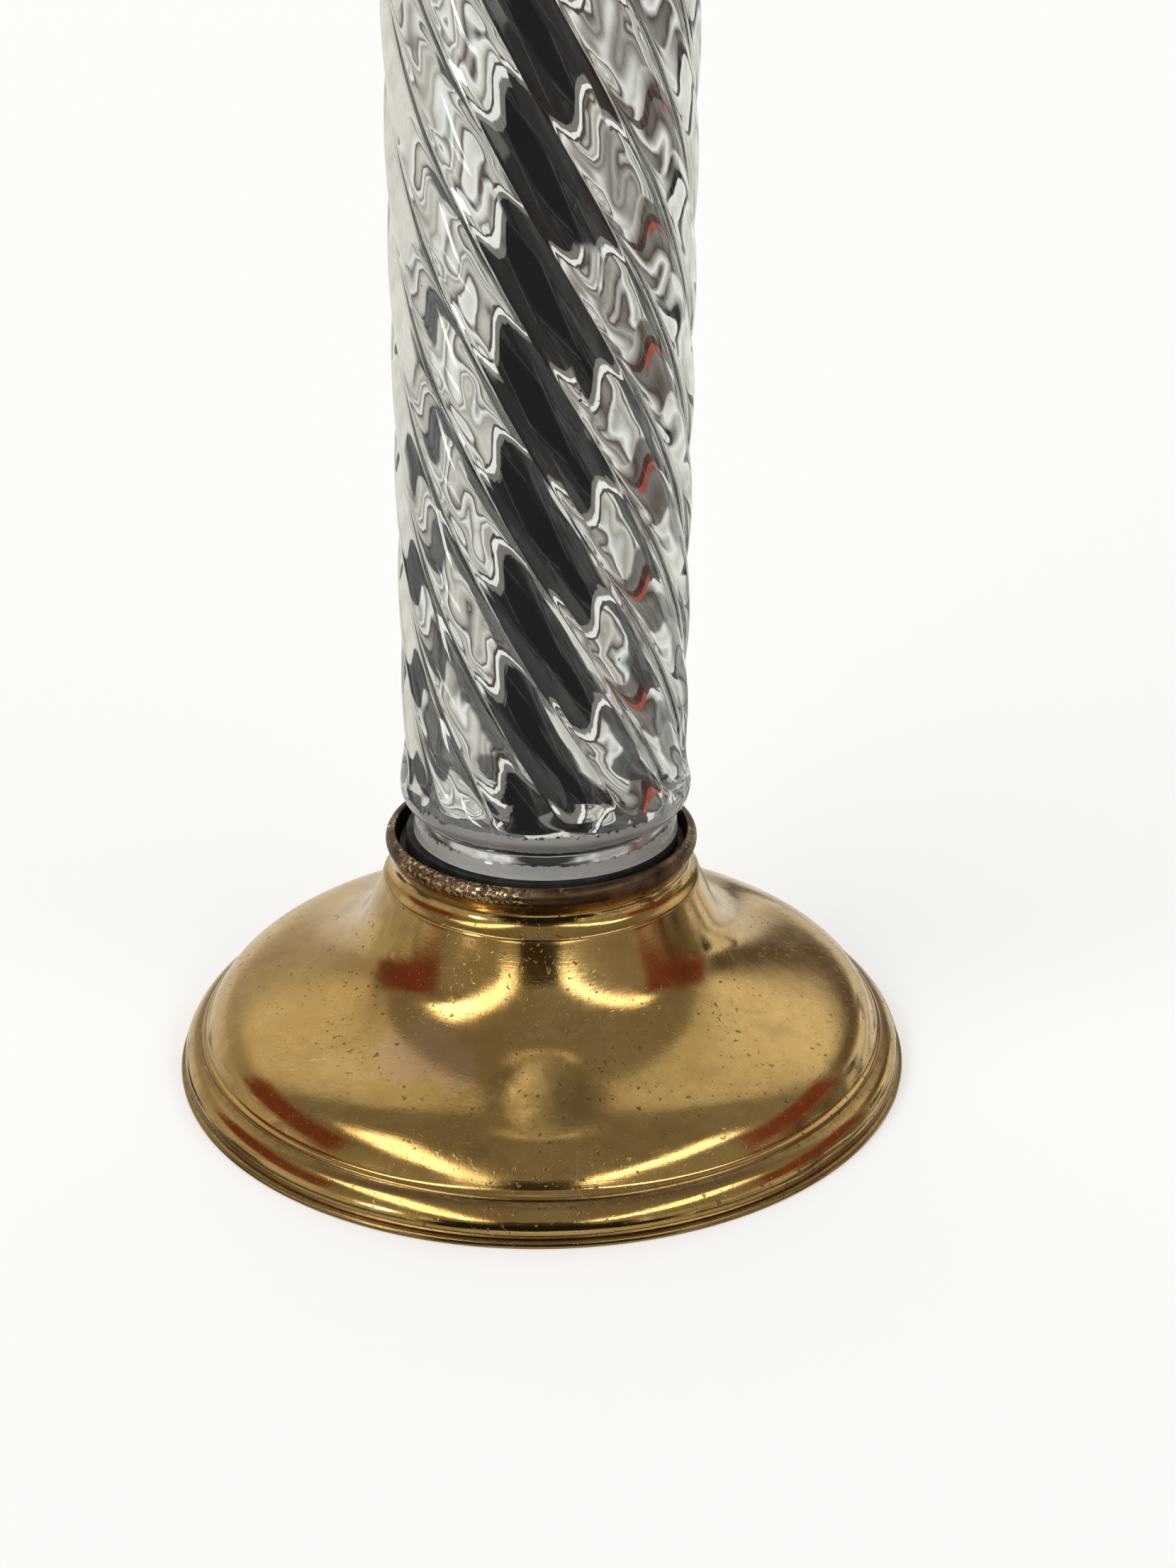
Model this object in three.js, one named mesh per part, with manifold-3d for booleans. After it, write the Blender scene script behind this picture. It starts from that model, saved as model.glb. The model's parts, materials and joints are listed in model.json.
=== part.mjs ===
// Barber pole light: a spun brass foot, a silvered twisted-rib glass column, a brass cap
// and a milk-glass globe over a screw lamp holder. Millimetres, +Z up. The origin is on the
// table, under the centre of the foot. The back of the object is +Y.
import * as THREE from 'three';
import { mergeVertices } from 'three/addons/utils/BufferGeometryUtils.js';
import Module from 'manifold-3d';

const wasm = await Module();
wasm.setup();

// ---- driving dimensions -------------------------------------------------------------------
const GAP = 0.3; // left between pieces that touch
const THREAD_GAP = 0.05; // between a thread, drawn as a plain bore, and the pipe in it
const HEAD_GAP = 0.1; // under a screw's head
const PAST = 1; // how far a cutter runs past what it cuts
const SHEET = 0.9; // spun brass

const FOOT_R = 101.6; // an 8 in foot
const FELT_R = 97.5;
const FELT_H = 1.6;

// The rolled collar, the same at both ends of the column. Heights are from the bead's middle,
// towards the far end of the collar.
const BEAD_Z = 66.2;
const BEAD_R = 2.6; // section of the bead
const BEAD_RING_R = 39.9;
const COLLAR_H = 11; // from the bead's middle to the convex edge under the cove
const COLLAR_EDGE_R = 43.5;
const LEDGE_R = 35.5; // an inward ledge that carries the seat plate
const LEDGE_H = 6;
const SEAT_PLATE_R = 37;
const SEAT_PLATE_T = 2;
const SEAT_RING_R = 37;
const SEAT_RING_BORE_R = 30;
const CENTRING_R = 29.4;
const CENTRING_T = 10;

const GLASS_Z = 69; // lower end of the glass column
const GLASS_LENGTH = 400;
const GLASS_SHIFT_X = 1.2; // the column stands this far off centre in its collar
const GLASS_NECK_R = 36.1;
const GLASS_CREASE_R = 34;
const GLASS_BULGE_R = 39.3;
const GLASS_BORE_R = 31.6;
const RIBS = 13;
const RIB_CREST_R = 38.2;
const RIB_DEPTH = 2.3;
const RIB_PITCH = 28.65; // height from one rib to the next, straight up the column
const RIB_START = 17; // ribs begin this far from either end
const RIB_FULL = 27; // and have their full depth from here
const RIB_POINTS = 3; // columns of points across one rib
const RIB_ROW_STEP = 22;
const CREASE_Z = 150; // a crease crosses the front of the column at this height

const ROD_R = 4.8; // 3/8 in lamp pipe
const ROD_BORE_R = 3.25;
const ROD_HOLE_R = 5.1; // hole in whatever the pipe passes through
const ROD_BOTTOM_Z = 9.5;
const ROD_TOP_Z = 513;
const NUT_R = 8; // across the corners, halved
const NUT_H = 4;
const WASHER_R = 9;
const WASHER_T = 1.2;

const WEIGHT_Z = FELT_H + GAP;
const WEIGHT_R = 84;
const WEIGHT_H = 11;
const HUB_R = 22;
const HUB_TOP_Z = 30;
const NUT_POCKET_R = 14;
const NUT_POCKET_TOP_Z = 18;
const SLEEVE_R = 8.5;

const INLET_Z = 7.4; // cord inlet, at the back of the foot
const INLET_BORE_R = 3.6;
const INLET_BODY_R = 4.3;
const INLET_HOLE_R = 4.4;
const INLET_FLANGE_R = 5;
const INLET_INNER_Y = 88;
const CHANNEL_W = 13;
const CHANNEL_START_Y = 6;
const CHANNEL_TOP_Z = 9.4;
const BLOCK_Y = 47; // middle of the terminal block, in a pocket of the weight
const BLOCK_W = 17;
const BLOCK_MARGIN = 1.5; // round the block, in its pocket
const BLOCK_BOTTOM_Z = 3.6;
const BLOCK_TOP_Z = 10.6;
const POLE_X = 4.4;
const TERMINAL_Y = 4.8; // each terminal screw, from the middle of the block
const SMALL_SCREW_R = 1.2;
const SMALL_HEAD_R = 2.2;
const SMALL_HEAD_H = 1;
const SLOT_W = 0.6;
const SLOT_DEPTH = 0.4;
const TERMINAL_SCREW_REACH = 1.6;
const TERMINAL_HOLE_ROOF = 1.6;
const BLOCK_SCREW_REACH = 6;

const WIRE_R = 1.1;
const WIRE_X = 1.3; // the two leads lie side by side in the pipe
const WIRE_HOLE_R = 1.5;
const LEAD_Z = 7; // where a lead enters the block
const LEAD_REACH = 3; // how far it goes in
const WIRE_STEPS = 3;
const WIRE_SIDES = 6;

const CAP_Z = GLASS_Z + GLASS_LENGTH + (GLASS_Z - BEAD_Z); // middle of the cap's bead
const CAP_H = 29; // from there to the cap's flat top
const CAP_NECK_R = 19;

const HOLDER_Z = CAP_Z + CAP_H + GAP;
const HOLDER_R = 44.2;
const HOLDER_H = 21;
const HOLDER_ROLL_R = 1.4;
const THUMBSCREWS = 3;
const THUMBSCREW_Z = HOLDER_Z + 14;
const THUMBSCREW_R = 1.95;
const THUMBSCREW_HOLE_R = 2;
const THUMBSCREW_BOSS_R = 3.6;
const THUMBSCREW_BOSS_OUT = 46;
const THUMBSCREW_HEAD_R = 5.6;
const THUMBSCREW_HEAD_T = 4;
const THUMBSCREW_HEAD_OUT = 54;

const GLOBE_Z = HOLDER_Z + SHEET + GAP;
const GLOBE_R = 76.2; // a 6 in globe
const GLOBE_WALL = 2.8;
const GLOBE_NECK_R = 38;
const GLOBE_NECK_H = 21;
const GLOBE_LIP_R = 41.25; // for a 3 1/4 in holder
const GLOBE_LIP_H = 6.5;

const TOP_WASHER_Z = HOLDER_Z + SHEET + GAP;
const TOP_NUT_Z = TOP_WASHER_Z + WASHER_T + GAP;
const SOCKET_CLEARANCE = 0.4; // over the top nut
const SOCKET_Z = TOP_NUT_Z + NUT_H + SOCKET_CLEARANCE;
const SOCKET_R = 18.6;
const SOCKET_H = 41.5;
const BODY_LIFT = 10.8;
const BODY_Z = SOCKET_Z + BODY_LIFT; // porcelain body in the socket
const BODY_R = 15.8;
const BODY_T = 5.4;
const SCREW_SHELL_R = 13.9;
const SCREW_SHELL_H = 23;
const SCREW_SHELL_BORE_R = 8;
const LINER_R = 16.3;
const LINER_T = 0.8;
const LINER_BELOW = 0.5; // its top, under the shell's
const CONTACT_R = 4;
const CONTACT_H = 1.6;
const SOCKET_SCREW_X = 10;
const SOCKET_SCREW_REACH = 2.6;
const SOCKET_HOLE_DEPTH = 3.4;

const BULB_Z = BODY_Z + BODY_T + CONTACT_H; // tip of the bulb's contact
const BULB_R = 24;
const BULB_LENGTH = 87;
const BULB_WALL = 0.9;
const BULB_CAP_R = 12.9;
const FILAMENT_R = 0.3;
const FILAMENT_SIDES = 4;

// Sides of the turned pieces.
const LARGE = 32;
const MEDIUM = 24;
const SMALL = 20;
const LITTLE = 16;
const BOSS = 12;
const TINY = 10;
const HEXAGON = 6;
const DOME_STEPS = 11;

// ---- materials ----------------------------------------------------------------------------
function finish(color, roughness, metalness) {
  return new THREE.MeshStandardMaterial({ color, roughness, metalness });
}

const BRASS = finish(0xb08d3c, 0.22, 1);
const SILVERED = finish(0xc9ccce, 0.05, 1);
const IRON = finish(0x3a3a3b, 0.7, 0.8);
const STEEL = finish(0x9a9c9e, 0.35, 1);
const RUBBER = finish(0x151515, 0.8, 0);
const FELT = finish(0x1f3b2a, 0.95, 0);
const CORK = finish(0xa07c50, 0.9, 0);
const PORCELAIN = finish(0xe8e4da, 0.3, 0);
const FIBRE = finish(0x8a7358, 0.85, 0);
const MILK_GLASS = finish(0xf6f3ec, 0.12, 0);
const BLACK_PLASTIC = finish(0x1c1c1e, 0.5, 0);
const WHITE_PLASTIC = finish(0xd9d6cd, 0.5, 0);
const TUNGSTEN = finish(0x55565a, 0.4, 1);
const CLEAR_GLASS = finish(0xdfe6e6, 0.05, 0);

// ---- helpers ------------------------------------------------------------------------------
const v2 = (x, y) => new THREE.Vector2(x, y);
const v3 = (x, y, z) => new THREE.Vector3(x, y, z);
const lifted = (points, dz) => points.map((p) => v2(p.x, p.y + dz));
const smooth = (points, steps) => new THREE.SplineCurve(points).getPoints(steps);

// Turns a (radius, height) outline about Z. It runs up the outside and down the inside, and
// either closes on itself or starts and ends on the axis.
function turned(outline, segments = MEDIUM) {
  const onAxis = outline[0].x === 0 && outline.at(-1).x === 0;
  const closed = onAxis ? outline : [...outline, outline[0].clone()];
  return new THREE.LatheGeometry(closed, segments).rotateX(Math.PI / 2);
}

// A ring with square edges, about Z.
function ring(outerR, innerR, z0, z1, segments = MEDIUM) {
  return turned([v2(innerR, z0), v2(outerR, z0), v2(outerR, z1), v2(innerR, z1)], segments);
}

// A disc or rod with square edges, about Z.
function disc(r, z0, z1, segments = MEDIUM) {
  return turned([v2(0, z0), v2(r, z0), v2(r, z1), v2(0, z1)], segments);
}

// A rod along +X or +Y, from one distance out to another.
const rodX = (r, x0, x1, segments) => disc(r, x0, x1, segments).rotateY(Math.PI / 2);
const rodY = (r, y0, y1, segments) => disc(r, y0, y1, segments).rotateX(-Math.PI / 2);

// A block between two corners.
function block(low, high) {
  const size = high.clone().sub(low);
  const middle = high.clone().add(low).multiplyScalar(0.5);
  return new THREE.BoxGeometry(size.x, size.y, size.z).translate(middle.x, middle.y, middle.z);
}

// Points along a circular arc, angles in degrees.
function arc(x, y, r, fromDeg, toDeg, steps) {
  const points = [];
  for (let i = 0; i <= steps; i += 1) {
    const a = THREE.MathUtils.degToRad(fromDeg + ((toDeg - fromDeg) * i) / steps);
    points.push(v2(x + r * Math.cos(a), y + r * Math.sin(a)));
  }
  return points;
}

// A round bar along a curve through the given points. Its steps are shared evenly between the
// points, so that close points on a bend give it more steps than a straight run has.
function bar(points, radius, stepsEach, sides) {
  const extrudePath = new THREE.CatmullRomCurve3(points, false, 'centripetal');
  extrudePath.getUtoTmapping = (u) => u;
  const steps = stepsEach * (points.length - 1);
  const section = new THREE.Shape(arc(0, 0, radius, 0, 360 - 360 / sides, sides - 1));
  return new THREE.ExtrudeGeometry(section, { steps, bevelEnabled: false, extrudePath });
}

function toSolid(geometry) {
  const bare = geometry.clone();
  bare.deleteAttribute('normal');
  bare.deleteAttribute('uv');
  const merged = mergeVertices(bare, 1e-4);
  const index = merged.index.array;
  const triangles = [];
  for (let i = 0; i < index.length; i += 3) {
    const [a, b, c] = index.slice(i, i + 3);
    if (a !== b && b !== c && c !== a) triangles.push(a, b, c);
  }
  const vertProperties = new Float32Array(merged.attributes.position.array);
  const triVerts = new Uint32Array(triangles);
  return new wasm.Manifold(new wasm.Mesh({ numProp: 3, vertProperties, triVerts }));
}

function toGeometry(solid) {
  const mesh = solid.getMesh();
  const geometry = new THREE.BufferGeometry();
  geometry.setAttribute('position', new THREE.BufferAttribute(mesh.vertProperties, 3));
  geometry.setIndex(new THREE.BufferAttribute(mesh.triVerts, 1));
  geometry.computeVertexNormals();
  return geometry;
}

// The first geometry with the others cut out of it.
function cut(geometry, ...tools) {
  return toGeometry(tools.reduce((left, tool) => left.subtract(toSolid(tool)), toSolid(geometry)));
}

// The geometries joined into one body.
function joined(geometry, ...others) {
  return toGeometry(others.reduce((left, other) => left.add(toSolid(other)), toSolid(geometry)));
}

function piece(name, geometry, material) {
  const mesh = new THREE.Mesh(geometry, material);
  mesh.name = name;
  return mesh;
}

// ---- the rolled collar ----------------------------------------------------------------------
// From the convex edge along the cove, then over the bead to its inside.
function collarOutside() {
  return [
    v2(COLLAR_EDGE_R, -COLLAR_H),
    v2(COLLAR_EDGE_R - 0.5, -COLLAR_H + 1),
    v2(COLLAR_EDGE_R - 2.3, -COLLAR_H + 2.5),
    v2(COLLAR_EDGE_R - 3.1, -COLLAR_H + 5.2),
    v2(COLLAR_EDGE_R - 2.7, -COLLAR_H + 7.8),
    ...arc(BEAD_RING_R, 0, BEAD_R, -45, 190, 6),
  ];
}

// From the inside of the bead down past the ledge.
function collarInside() {
  const throatR = COLLAR_EDGE_R - 3.1 - SHEET;
  return [
    v2(throatR, -LEDGE_H + 1.8),
    v2(throatR, -LEDGE_H + 0.4),
    v2(LEDGE_R, -LEDGE_H),
    v2(LEDGE_R, -LEDGE_H - SHEET),
    v2(throatR + 0.8, -LEDGE_H - SHEET - 0.6),
  ];
}

// Turns a lower-collar outline into the upper one. It stands upside down, so it runs backwards.
const flipped = (points) => [...points].reverse().map((p) => v2(p.x, -p.y));

// ---- foot -----------------------------------------------------------------------------------
// Foot roll, from the band at the table up to the crease under the dome.
const FOOT_ROLL = [
  v2(FOOT_R, 0),
  v2(FOOT_R, 1.8),
  v2(FOOT_R - 1.8, 2.6),
  v2(FOOT_R - 1.5, 4.6),
  v2(FOOT_R - 2.6, 7.6),
  v2(FOOT_R - 4.4, 9.6),
  v2(FOOT_R - 6, 10),
  v2(FOOT_R - 6.4, 10.9),
];

// The dome, from its shoulder up to the collar's edge.
const DOME = [
  v2(94, 11.8),
  v2(91.9, 15.2),
  v2(88, 19.6),
  v2(82, 22.9),
  v2(74, 25.5),
  v2(66, 28.5),
  v2(58, 32.8),
  v2(52, 38),
  v2(47.2, 46),
  v2(44.3, 52.4),
];

// The inside of the sheet, from under the ledge down to the rim.
const FOOT_INSIDE = [
  v2(42.5, 54),
  v2(45.9, 45.4),
  v2(50.8, 37),
  v2(57.4, 31.6),
  v2(65.6, 27.4),
  v2(86, 19.6),
  v2(90.8, 14.6),
  v2(93, 10),
  v2(96.6, 8.4),
  v2(FOOT_R - 2.9, 4.4),
  v2(FOOT_R - 2.9, 0),
];

function baseShell() {
  const outside = [...FOOT_ROLL, ...smooth(DOME, DOME_STEPS), ...lifted(collarOutside(), BEAD_Z)];
  const inside = [...lifted(collarInside(), BEAD_Z), ...FOOT_INSIDE];
  const inlet = rodY(INLET_HOLE_R, INLET_INNER_Y - PAST, FOOT_R + PAST, LITTLE).translate(0, 0, INLET_Z);
  return piece('base_shell', cut(turned([...outside, ...inside], LARGE), inlet), BRASS);
}

function baseFelt() {
  return piece('base_felt', disc(FELT_R, 0, FELT_H, LARGE), FELT);
}

// The weight has a pocket for the nut, one for the terminal block, and a channel for the cord.
function baseWeight() {
  const top = WEIGHT_Z + WEIGHT_H;
  const body = turned([
    v2(NUT_POCKET_R, WEIGHT_Z),
    v2(WEIGHT_R, WEIGHT_Z),
    v2(WEIGHT_R, top - 3),
    v2(WEIGHT_R - 4, top),
    v2(HUB_R + 3, top),
    v2(HUB_R, top + 3),
    v2(HUB_R - 3, HUB_TOP_Z),
    v2(ROD_HOLE_R, HUB_TOP_Z),
    v2(ROD_HOLE_R, NUT_POCKET_TOP_Z),
    v2(NUT_POCKET_R, NUT_POCKET_TOP_Z),
  ], LARGE);
  const below = WEIGHT_Z - PAST;
  const channel = block(
    v3(-CHANNEL_W / 2, CHANNEL_START_Y, below),
    v3(CHANNEL_W / 2, WEIGHT_R + PAST, CHANNEL_TOP_Z),
  );
  const half = BLOCK_W / 2 + BLOCK_MARGIN;
  const pocketTop = BLOCK_TOP_Z + GAP;
  const pocket = block(v3(-half, BLOCK_Y - half, below), v3(half, BLOCK_Y + half, pocketTop));
  return piece('base_weight', cut(body, channel, pocket), IRON);
}

function nut(name, z) {
  const hex = disc(NUT_R, z, z + NUT_H, HEXAGON);
  return piece(name, cut(hex, disc(ROD_R + THREAD_GAP, z - PAST, z + NUT_H + PAST, SMALL)), STEEL);
}

function washer(name, z) {
  return piece(name, ring(WASHER_R, ROD_HOLE_R, z, z + WASHER_T, SMALL), STEEL);
}

function spacerSleeve() {
  return piece('spacer_sleeve', ring(SLEEVE_R, ROD_HOLE_R, HUB_TOP_Z + GAP, BEAD_Z - LEDGE_H, SMALL), STEEL);
}

// A flanged bush through the back of the foot.
function cordBushing() {
  const outline = [
    v2(INLET_BORE_R, INLET_INNER_Y),
    v2(INLET_BODY_R, INLET_INNER_Y),
    v2(INLET_BODY_R, FOOT_R - 1.1),
    v2(INLET_FLANGE_R, FOOT_R - 1),
    v2(INLET_FLANGE_R, FOOT_R - 0.3),
    v2(INLET_FLANGE_R - 0.5, FOOT_R),
    v2(INLET_BORE_R, FOOT_R),
  ];
  const bush = turned(outline, LITTLE).rotateX(-Math.PI / 2).translate(0, 0, INLET_Z);
  return piece('cord_bushing', bush, BLACK_PLASTIC);
}

// ---- wiring in the foot -----------------------------------------------------------------------
const terminals = [];
for (const x of [-POLE_X, POLE_X]) {
  for (const y of [BLOCK_Y - TERMINAL_Y, BLOCK_Y + TERMINAL_Y]) terminals.push(v2(x, y));
}

function terminalBlock() {
  const half = BLOCK_W / 2;
  const body = block(v3(-half, BLOCK_Y - half, BLOCK_BOTTOM_Z), v3(half, BLOCK_Y + half, BLOCK_TOP_Z));
  const holeR = SMALL_SCREW_R + GAP;
  const below = BLOCK_BOTTOM_Z - PAST;
  const screwHole = disc(holeR, below, BLOCK_TOP_Z - TERMINAL_HOLE_ROOF, TINY);
  const holes = terminals.map((t) => screwHole.clone().translate(t.x, t.y, 0));
  holes.push(disc(holeR, below, BLOCK_TOP_Z + PAST, TINY).translate(0, BLOCK_Y, 0));
  const front = BLOCK_Y - half;
  for (const x of [-POLE_X, POLE_X]) {
    holes.push(rodY(WIRE_HOLE_R, front - PAST, front + LEAD_REACH, TINY).translate(x, 0, LEAD_Z));
  }
  return piece('terminal_block', cut(body, ...holes), PORCELAIN);
}

// A cheese-head screw that points up, with a slot in its head.
function smallScrew(name, at, headZ, reach) {
  const shankTop = headZ + SMALL_HEAD_H + reach;
  const body = turned([
    v2(0, headZ),
    v2(SMALL_HEAD_R, headZ),
    v2(SMALL_HEAD_R, headZ + SMALL_HEAD_H),
    v2(SMALL_SCREW_R, headZ + SMALL_HEAD_H),
    v2(SMALL_SCREW_R, shankTop),
    v2(0, shankTop),
  ], TINY);
  const reachX = SMALL_HEAD_R + PAST;
  const halfW = SLOT_W / 2;
  const slot = block(v3(-reachX, -halfW, headZ - PAST), v3(reachX, halfW, headZ + SLOT_DEPTH));
  return piece(name, cut(body, slot).translate(at.x, at.y, 0), BRASS);
}

function wiringInFoot() {
  const headZ = BLOCK_BOTTOM_Z - SMALL_HEAD_H - HEAD_GAP;
  const blockScrew = smallScrew('block_screw', v2(0, BLOCK_Y), headZ, BLOCK_SCREW_REACH);
  const screws = terminals.map((t, i) => (
    smallScrew(`terminal_screw_${i + 1}`, t, headZ, TERMINAL_SCREW_REACH)));
  return [terminalBlock(), blockScrew, ...screws];
}

// A lead from the block, under the pipe's end, up the pipe and out to its socket screw.
function lead(name, side, material) {
  const x = side * WIRE_X;
  const blockFace = BLOCK_Y - BLOCK_W / 2;
  const route = [
    v3(side * POLE_X, blockFace + LEAD_REACH - GAP, LEAD_Z),
    v3(side * POLE_X, blockFace - 5, LEAD_Z),
    v3(side * 3, 22, 5.6),
    v3(x, 9, 5),
    v3(x, 4, 5.3),
    v3(x, 1.1, 7.6),
    v3(x, 0, 12),
    v3(x, 0, 60),
    v3(x, 0, 150),
    v3(x, 0, 250),
    v3(x, 0, 350),
    v3(x, 0, 450),
    v3(x, 0, ROD_TOP_Z - 4),
    v3(x * 1.15, 0, ROD_TOP_Z + 0.6),
    v3(side * 3.6, 0, ROD_TOP_Z + 3.2),
    v3(side * (SOCKET_SCREW_X - SMALL_HEAD_R - GAP), 0, BODY_Z - 1.5),
  ];
  return piece(name, bar(route, WIRE_R, WIRE_STEPS, WIRE_SIDES), material);
}

// ---- column -----------------------------------------------------------------------------------
function centreRod() {
  return piece('centre_rod', ring(ROD_R, ROD_BORE_R, ROD_BOTTOM_Z, ROD_TOP_Z, SMALL), STEEL);
}

// The plate, seat ring and centring disc at one end. `z` places a height in the collar.
function seat(prefix, z) {
  const span = (h0, h1) => [Math.min(z(h0), z(h1)), Math.max(z(h0), z(h1))];
  const plateTop = -LEDGE_H + GAP + SEAT_PLATE_T;
  const ringTop = GLASS_Z - BEAD_Z - GAP;
  const plate = ring(SEAT_PLATE_R, ROD_HOLE_R, ...span(-LEDGE_H + GAP, plateTop));
  const seatRing = ring(SEAT_RING_R, SEAT_RING_BORE_R, ...span(plateTop + GAP, ringTop));
  const centring = ring(CENTRING_R, ROD_HOLE_R, ...span(plateTop + GAP, plateTop + GAP + CENTRING_T));
  return [
    piece(`${prefix}_seat_plate`, plate, STEEL),
    piece(`${prefix}_seat_ring`, seatRing, RUBBER),
    piece(`${prefix}_centring_disc`, centring, CORK),
  ];
}

// The column's radius over its crests, against the distance from the nearer end.
const END_PROFILE = [
  [0, GLASS_NECK_R],
  [3, GLASS_NECK_R - 0.5],
  [7.3, GLASS_CREASE_R],
  [9.4, GLASS_BULGE_R - 1.2],
  [13, GLASS_BULGE_R],
  [18, GLASS_BULGE_R - 0.3],
  [24, RIB_CREST_R],
];

function crestRadius(fromEnd) {
  const next = END_PROFILE.findIndex(([h]) => h >= fromEnd);
  if (next < 0) return RIB_CREST_R;
  if (next === 0) return END_PROFILE[0][1];
  const [h0, r0] = END_PROFILE[next - 1];
  const [h1, r1] = END_PROFILE[next];
  return THREE.MathUtils.mapLinear(fromEnd, h0, h1, r0, r1);
}

function columnHeights() {
  const ends = END_PROFILE.map(([h]) => h);
  const middle = GLASS_LENGTH - 2 * ends.at(-1);
  const rows = Math.round(middle / RIB_ROW_STEP);
  const between = [];
  for (let i = 1; i < rows; i += 1) between.push(ends.at(-1) + (middle * i) / rows);
  return [...ends, ...between, ...[...ends].reverse().map((h) => GLASS_LENGTH - h)];
}

// Convex ribs with sharp creases between them wind round the column, falling to the right as
// it is seen from outside.
function glassColumn() {
  const columns = RIBS * RIB_POINTS;
  const positions = [];
  const heights = columnHeights();
  for (const h of heights) {
    const fromEnd = Math.min(h, GLASS_LENGTH - h);
    const depth = RIB_DEPTH * THREE.MathUtils.smoothstep(fromEnd, RIB_START, RIB_FULL);
    const turn = (-2 * Math.PI * (GLASS_Z + h - CREASE_Z)) / (RIB_PITCH * RIBS) - Math.PI / 2;
    for (let k = 0; k < columns; k += 1) {
      const fromCrest = Math.abs((2 * (k % RIB_POINTS)) / RIB_POINTS - 1);
      const r = crestRadius(fromEnd) - depth * fromCrest ** 2;
      const angle = turn + (2 * Math.PI * k) / columns;
      positions.push(r * Math.cos(angle), r * Math.sin(angle), h);
    }
  }
  const bottomCentre = positions.length / 3;
  const topCentre = bottomCentre + 1;
  positions.push(0, 0, 0, 0, 0, GLASS_LENGTH);
  const index = [];
  const topRow = (heights.length - 1) * columns;
  for (let k = 0; k < columns; k += 1) {
    const next = (k + 1) % columns;
    index.push(bottomCentre, next, k, topCentre, topRow + k, topRow + next);
    for (let row = 0; row < topRow; row += columns) {
      index.push(row + k, row + next, row + columns + next);
      index.push(row + k, row + columns + next, row + columns + k);
    }
  }
  const solid = new THREE.BufferGeometry();
  solid.setAttribute('position', new THREE.Float32BufferAttribute(positions, 3));
  solid.setIndex(index);
  const bore = disc(GLASS_BORE_R, -PAST, GLASS_LENGTH + PAST, columns);
  const mesh = piece('glass_column', cut(solid, bore), SILVERED);
  mesh.position.set(GLASS_SHIFT_X, 0, GLASS_Z);
  return mesh;
}

// ---- cap and globe holder -----------------------------------------------------------------------
function topCap() {
  const outside = [
    ...flipped(collarOutside()),
    v2(42.8, 13.6),
    v2(39, 18.2),
    v2(32, 21),
    v2(25, 22.8),
    v2(20.6, 25.2),
    v2(CAP_NECK_R, CAP_H),
  ];
  const inside = [
    v2(ROD_HOLE_R, CAP_H),
    v2(ROD_HOLE_R, CAP_H - SHEET),
    v2(CAP_NECK_R - 0.7, CAP_H - SHEET),
    v2(19.8, 24.6),
    v2(24.6, 21.9),
    v2(31.6, 20.1),
    v2(38.4, 17.4),
    v2(41.9, 13.2),
    v2(42.4, 11.2),
    ...flipped(collarInside()),
  ];
  return piece('top_cap', turned(lifted([...outside, ...inside], CAP_Z)), BRASS);
}

// Angle of thumbscrew i about Z: one at the back, the others to the front left and right.
const thumbscrewAngle = (i) => Math.PI / 2 + (2 * Math.PI * i) / THUMBSCREWS;

function globeHolder() {
  const rollX = HOLDER_R + HOLDER_ROLL_R - SHEET;
  const cup = turned([
    v2(ROD_HOLE_R, HOLDER_Z),
    v2(40, HOLDER_Z),
    v2(43, HOLDER_Z + 1.2),
    v2(HOLDER_R, HOLDER_Z + 4),
    ...lifted(arc(rollX, HOLDER_H - HOLDER_ROLL_R, HOLDER_ROLL_R, -110, 180, 5), HOLDER_Z),
    v2(HOLDER_R - SHEET, HOLDER_Z + 4.3),
    v2(42.3, HOLDER_Z + 2),
    v2(40, HOLDER_Z + SHEET),
    v2(ROD_HOLE_R, HOLDER_Z + SHEET),
  ]);
  const around = (geometry, i) => geometry.translate(0, 0, THUMBSCREW_Z).rotateZ(thumbscrewAngle(i));
  const bosses = [];
  const holes = [];
  for (let i = 0; i < THUMBSCREWS; i += 1) {
    bosses.push(around(rodX(THUMBSCREW_BOSS_R, HOLDER_R - SHEET / 2, THUMBSCREW_BOSS_OUT, BOSS), i));
    const inside = HOLDER_R - SHEET - PAST;
    holes.push(around(rodX(THUMBSCREW_HOLE_R, inside, THUMBSCREW_BOSS_OUT + PAST, LITTLE), i));
  }
  return piece('globe_holder', cut(joined(cup, ...bosses), ...holes), BRASS);
}

// A screw with a round grip; at rest its tip is just clear of the globe's lip.
function thumbscrew(i) {
  const tip = GLOBE_LIP_R + GAP;
  const gripIn = THUMBSCREW_HEAD_OUT - THUMBSCREW_HEAD_T;
  const screw = turned([
    v2(0, tip),
    v2(THUMBSCREW_R - 0.6, tip),
    v2(THUMBSCREW_R, tip + 0.6),
    v2(THUMBSCREW_R, gripIn - 1),
    v2(3, gripIn),
    v2(THUMBSCREW_HEAD_R - 0.6, gripIn),
    v2(THUMBSCREW_HEAD_R, gripIn + 0.6),
    v2(THUMBSCREW_HEAD_R, THUMBSCREW_HEAD_OUT - 0.6),
    v2(THUMBSCREW_HEAD_R - 0.6, THUMBSCREW_HEAD_OUT),
    v2(0, THUMBSCREW_HEAD_OUT),
  ], LITTLE);
  const mesh = piece(`thumbscrew_${i + 1}`, screw.rotateY(Math.PI / 2), BRASS);
  mesh.rotation.z = thumbscrewAngle(i);
  mesh.position.z = THUMBSCREW_Z;
  return mesh;
}

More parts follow.
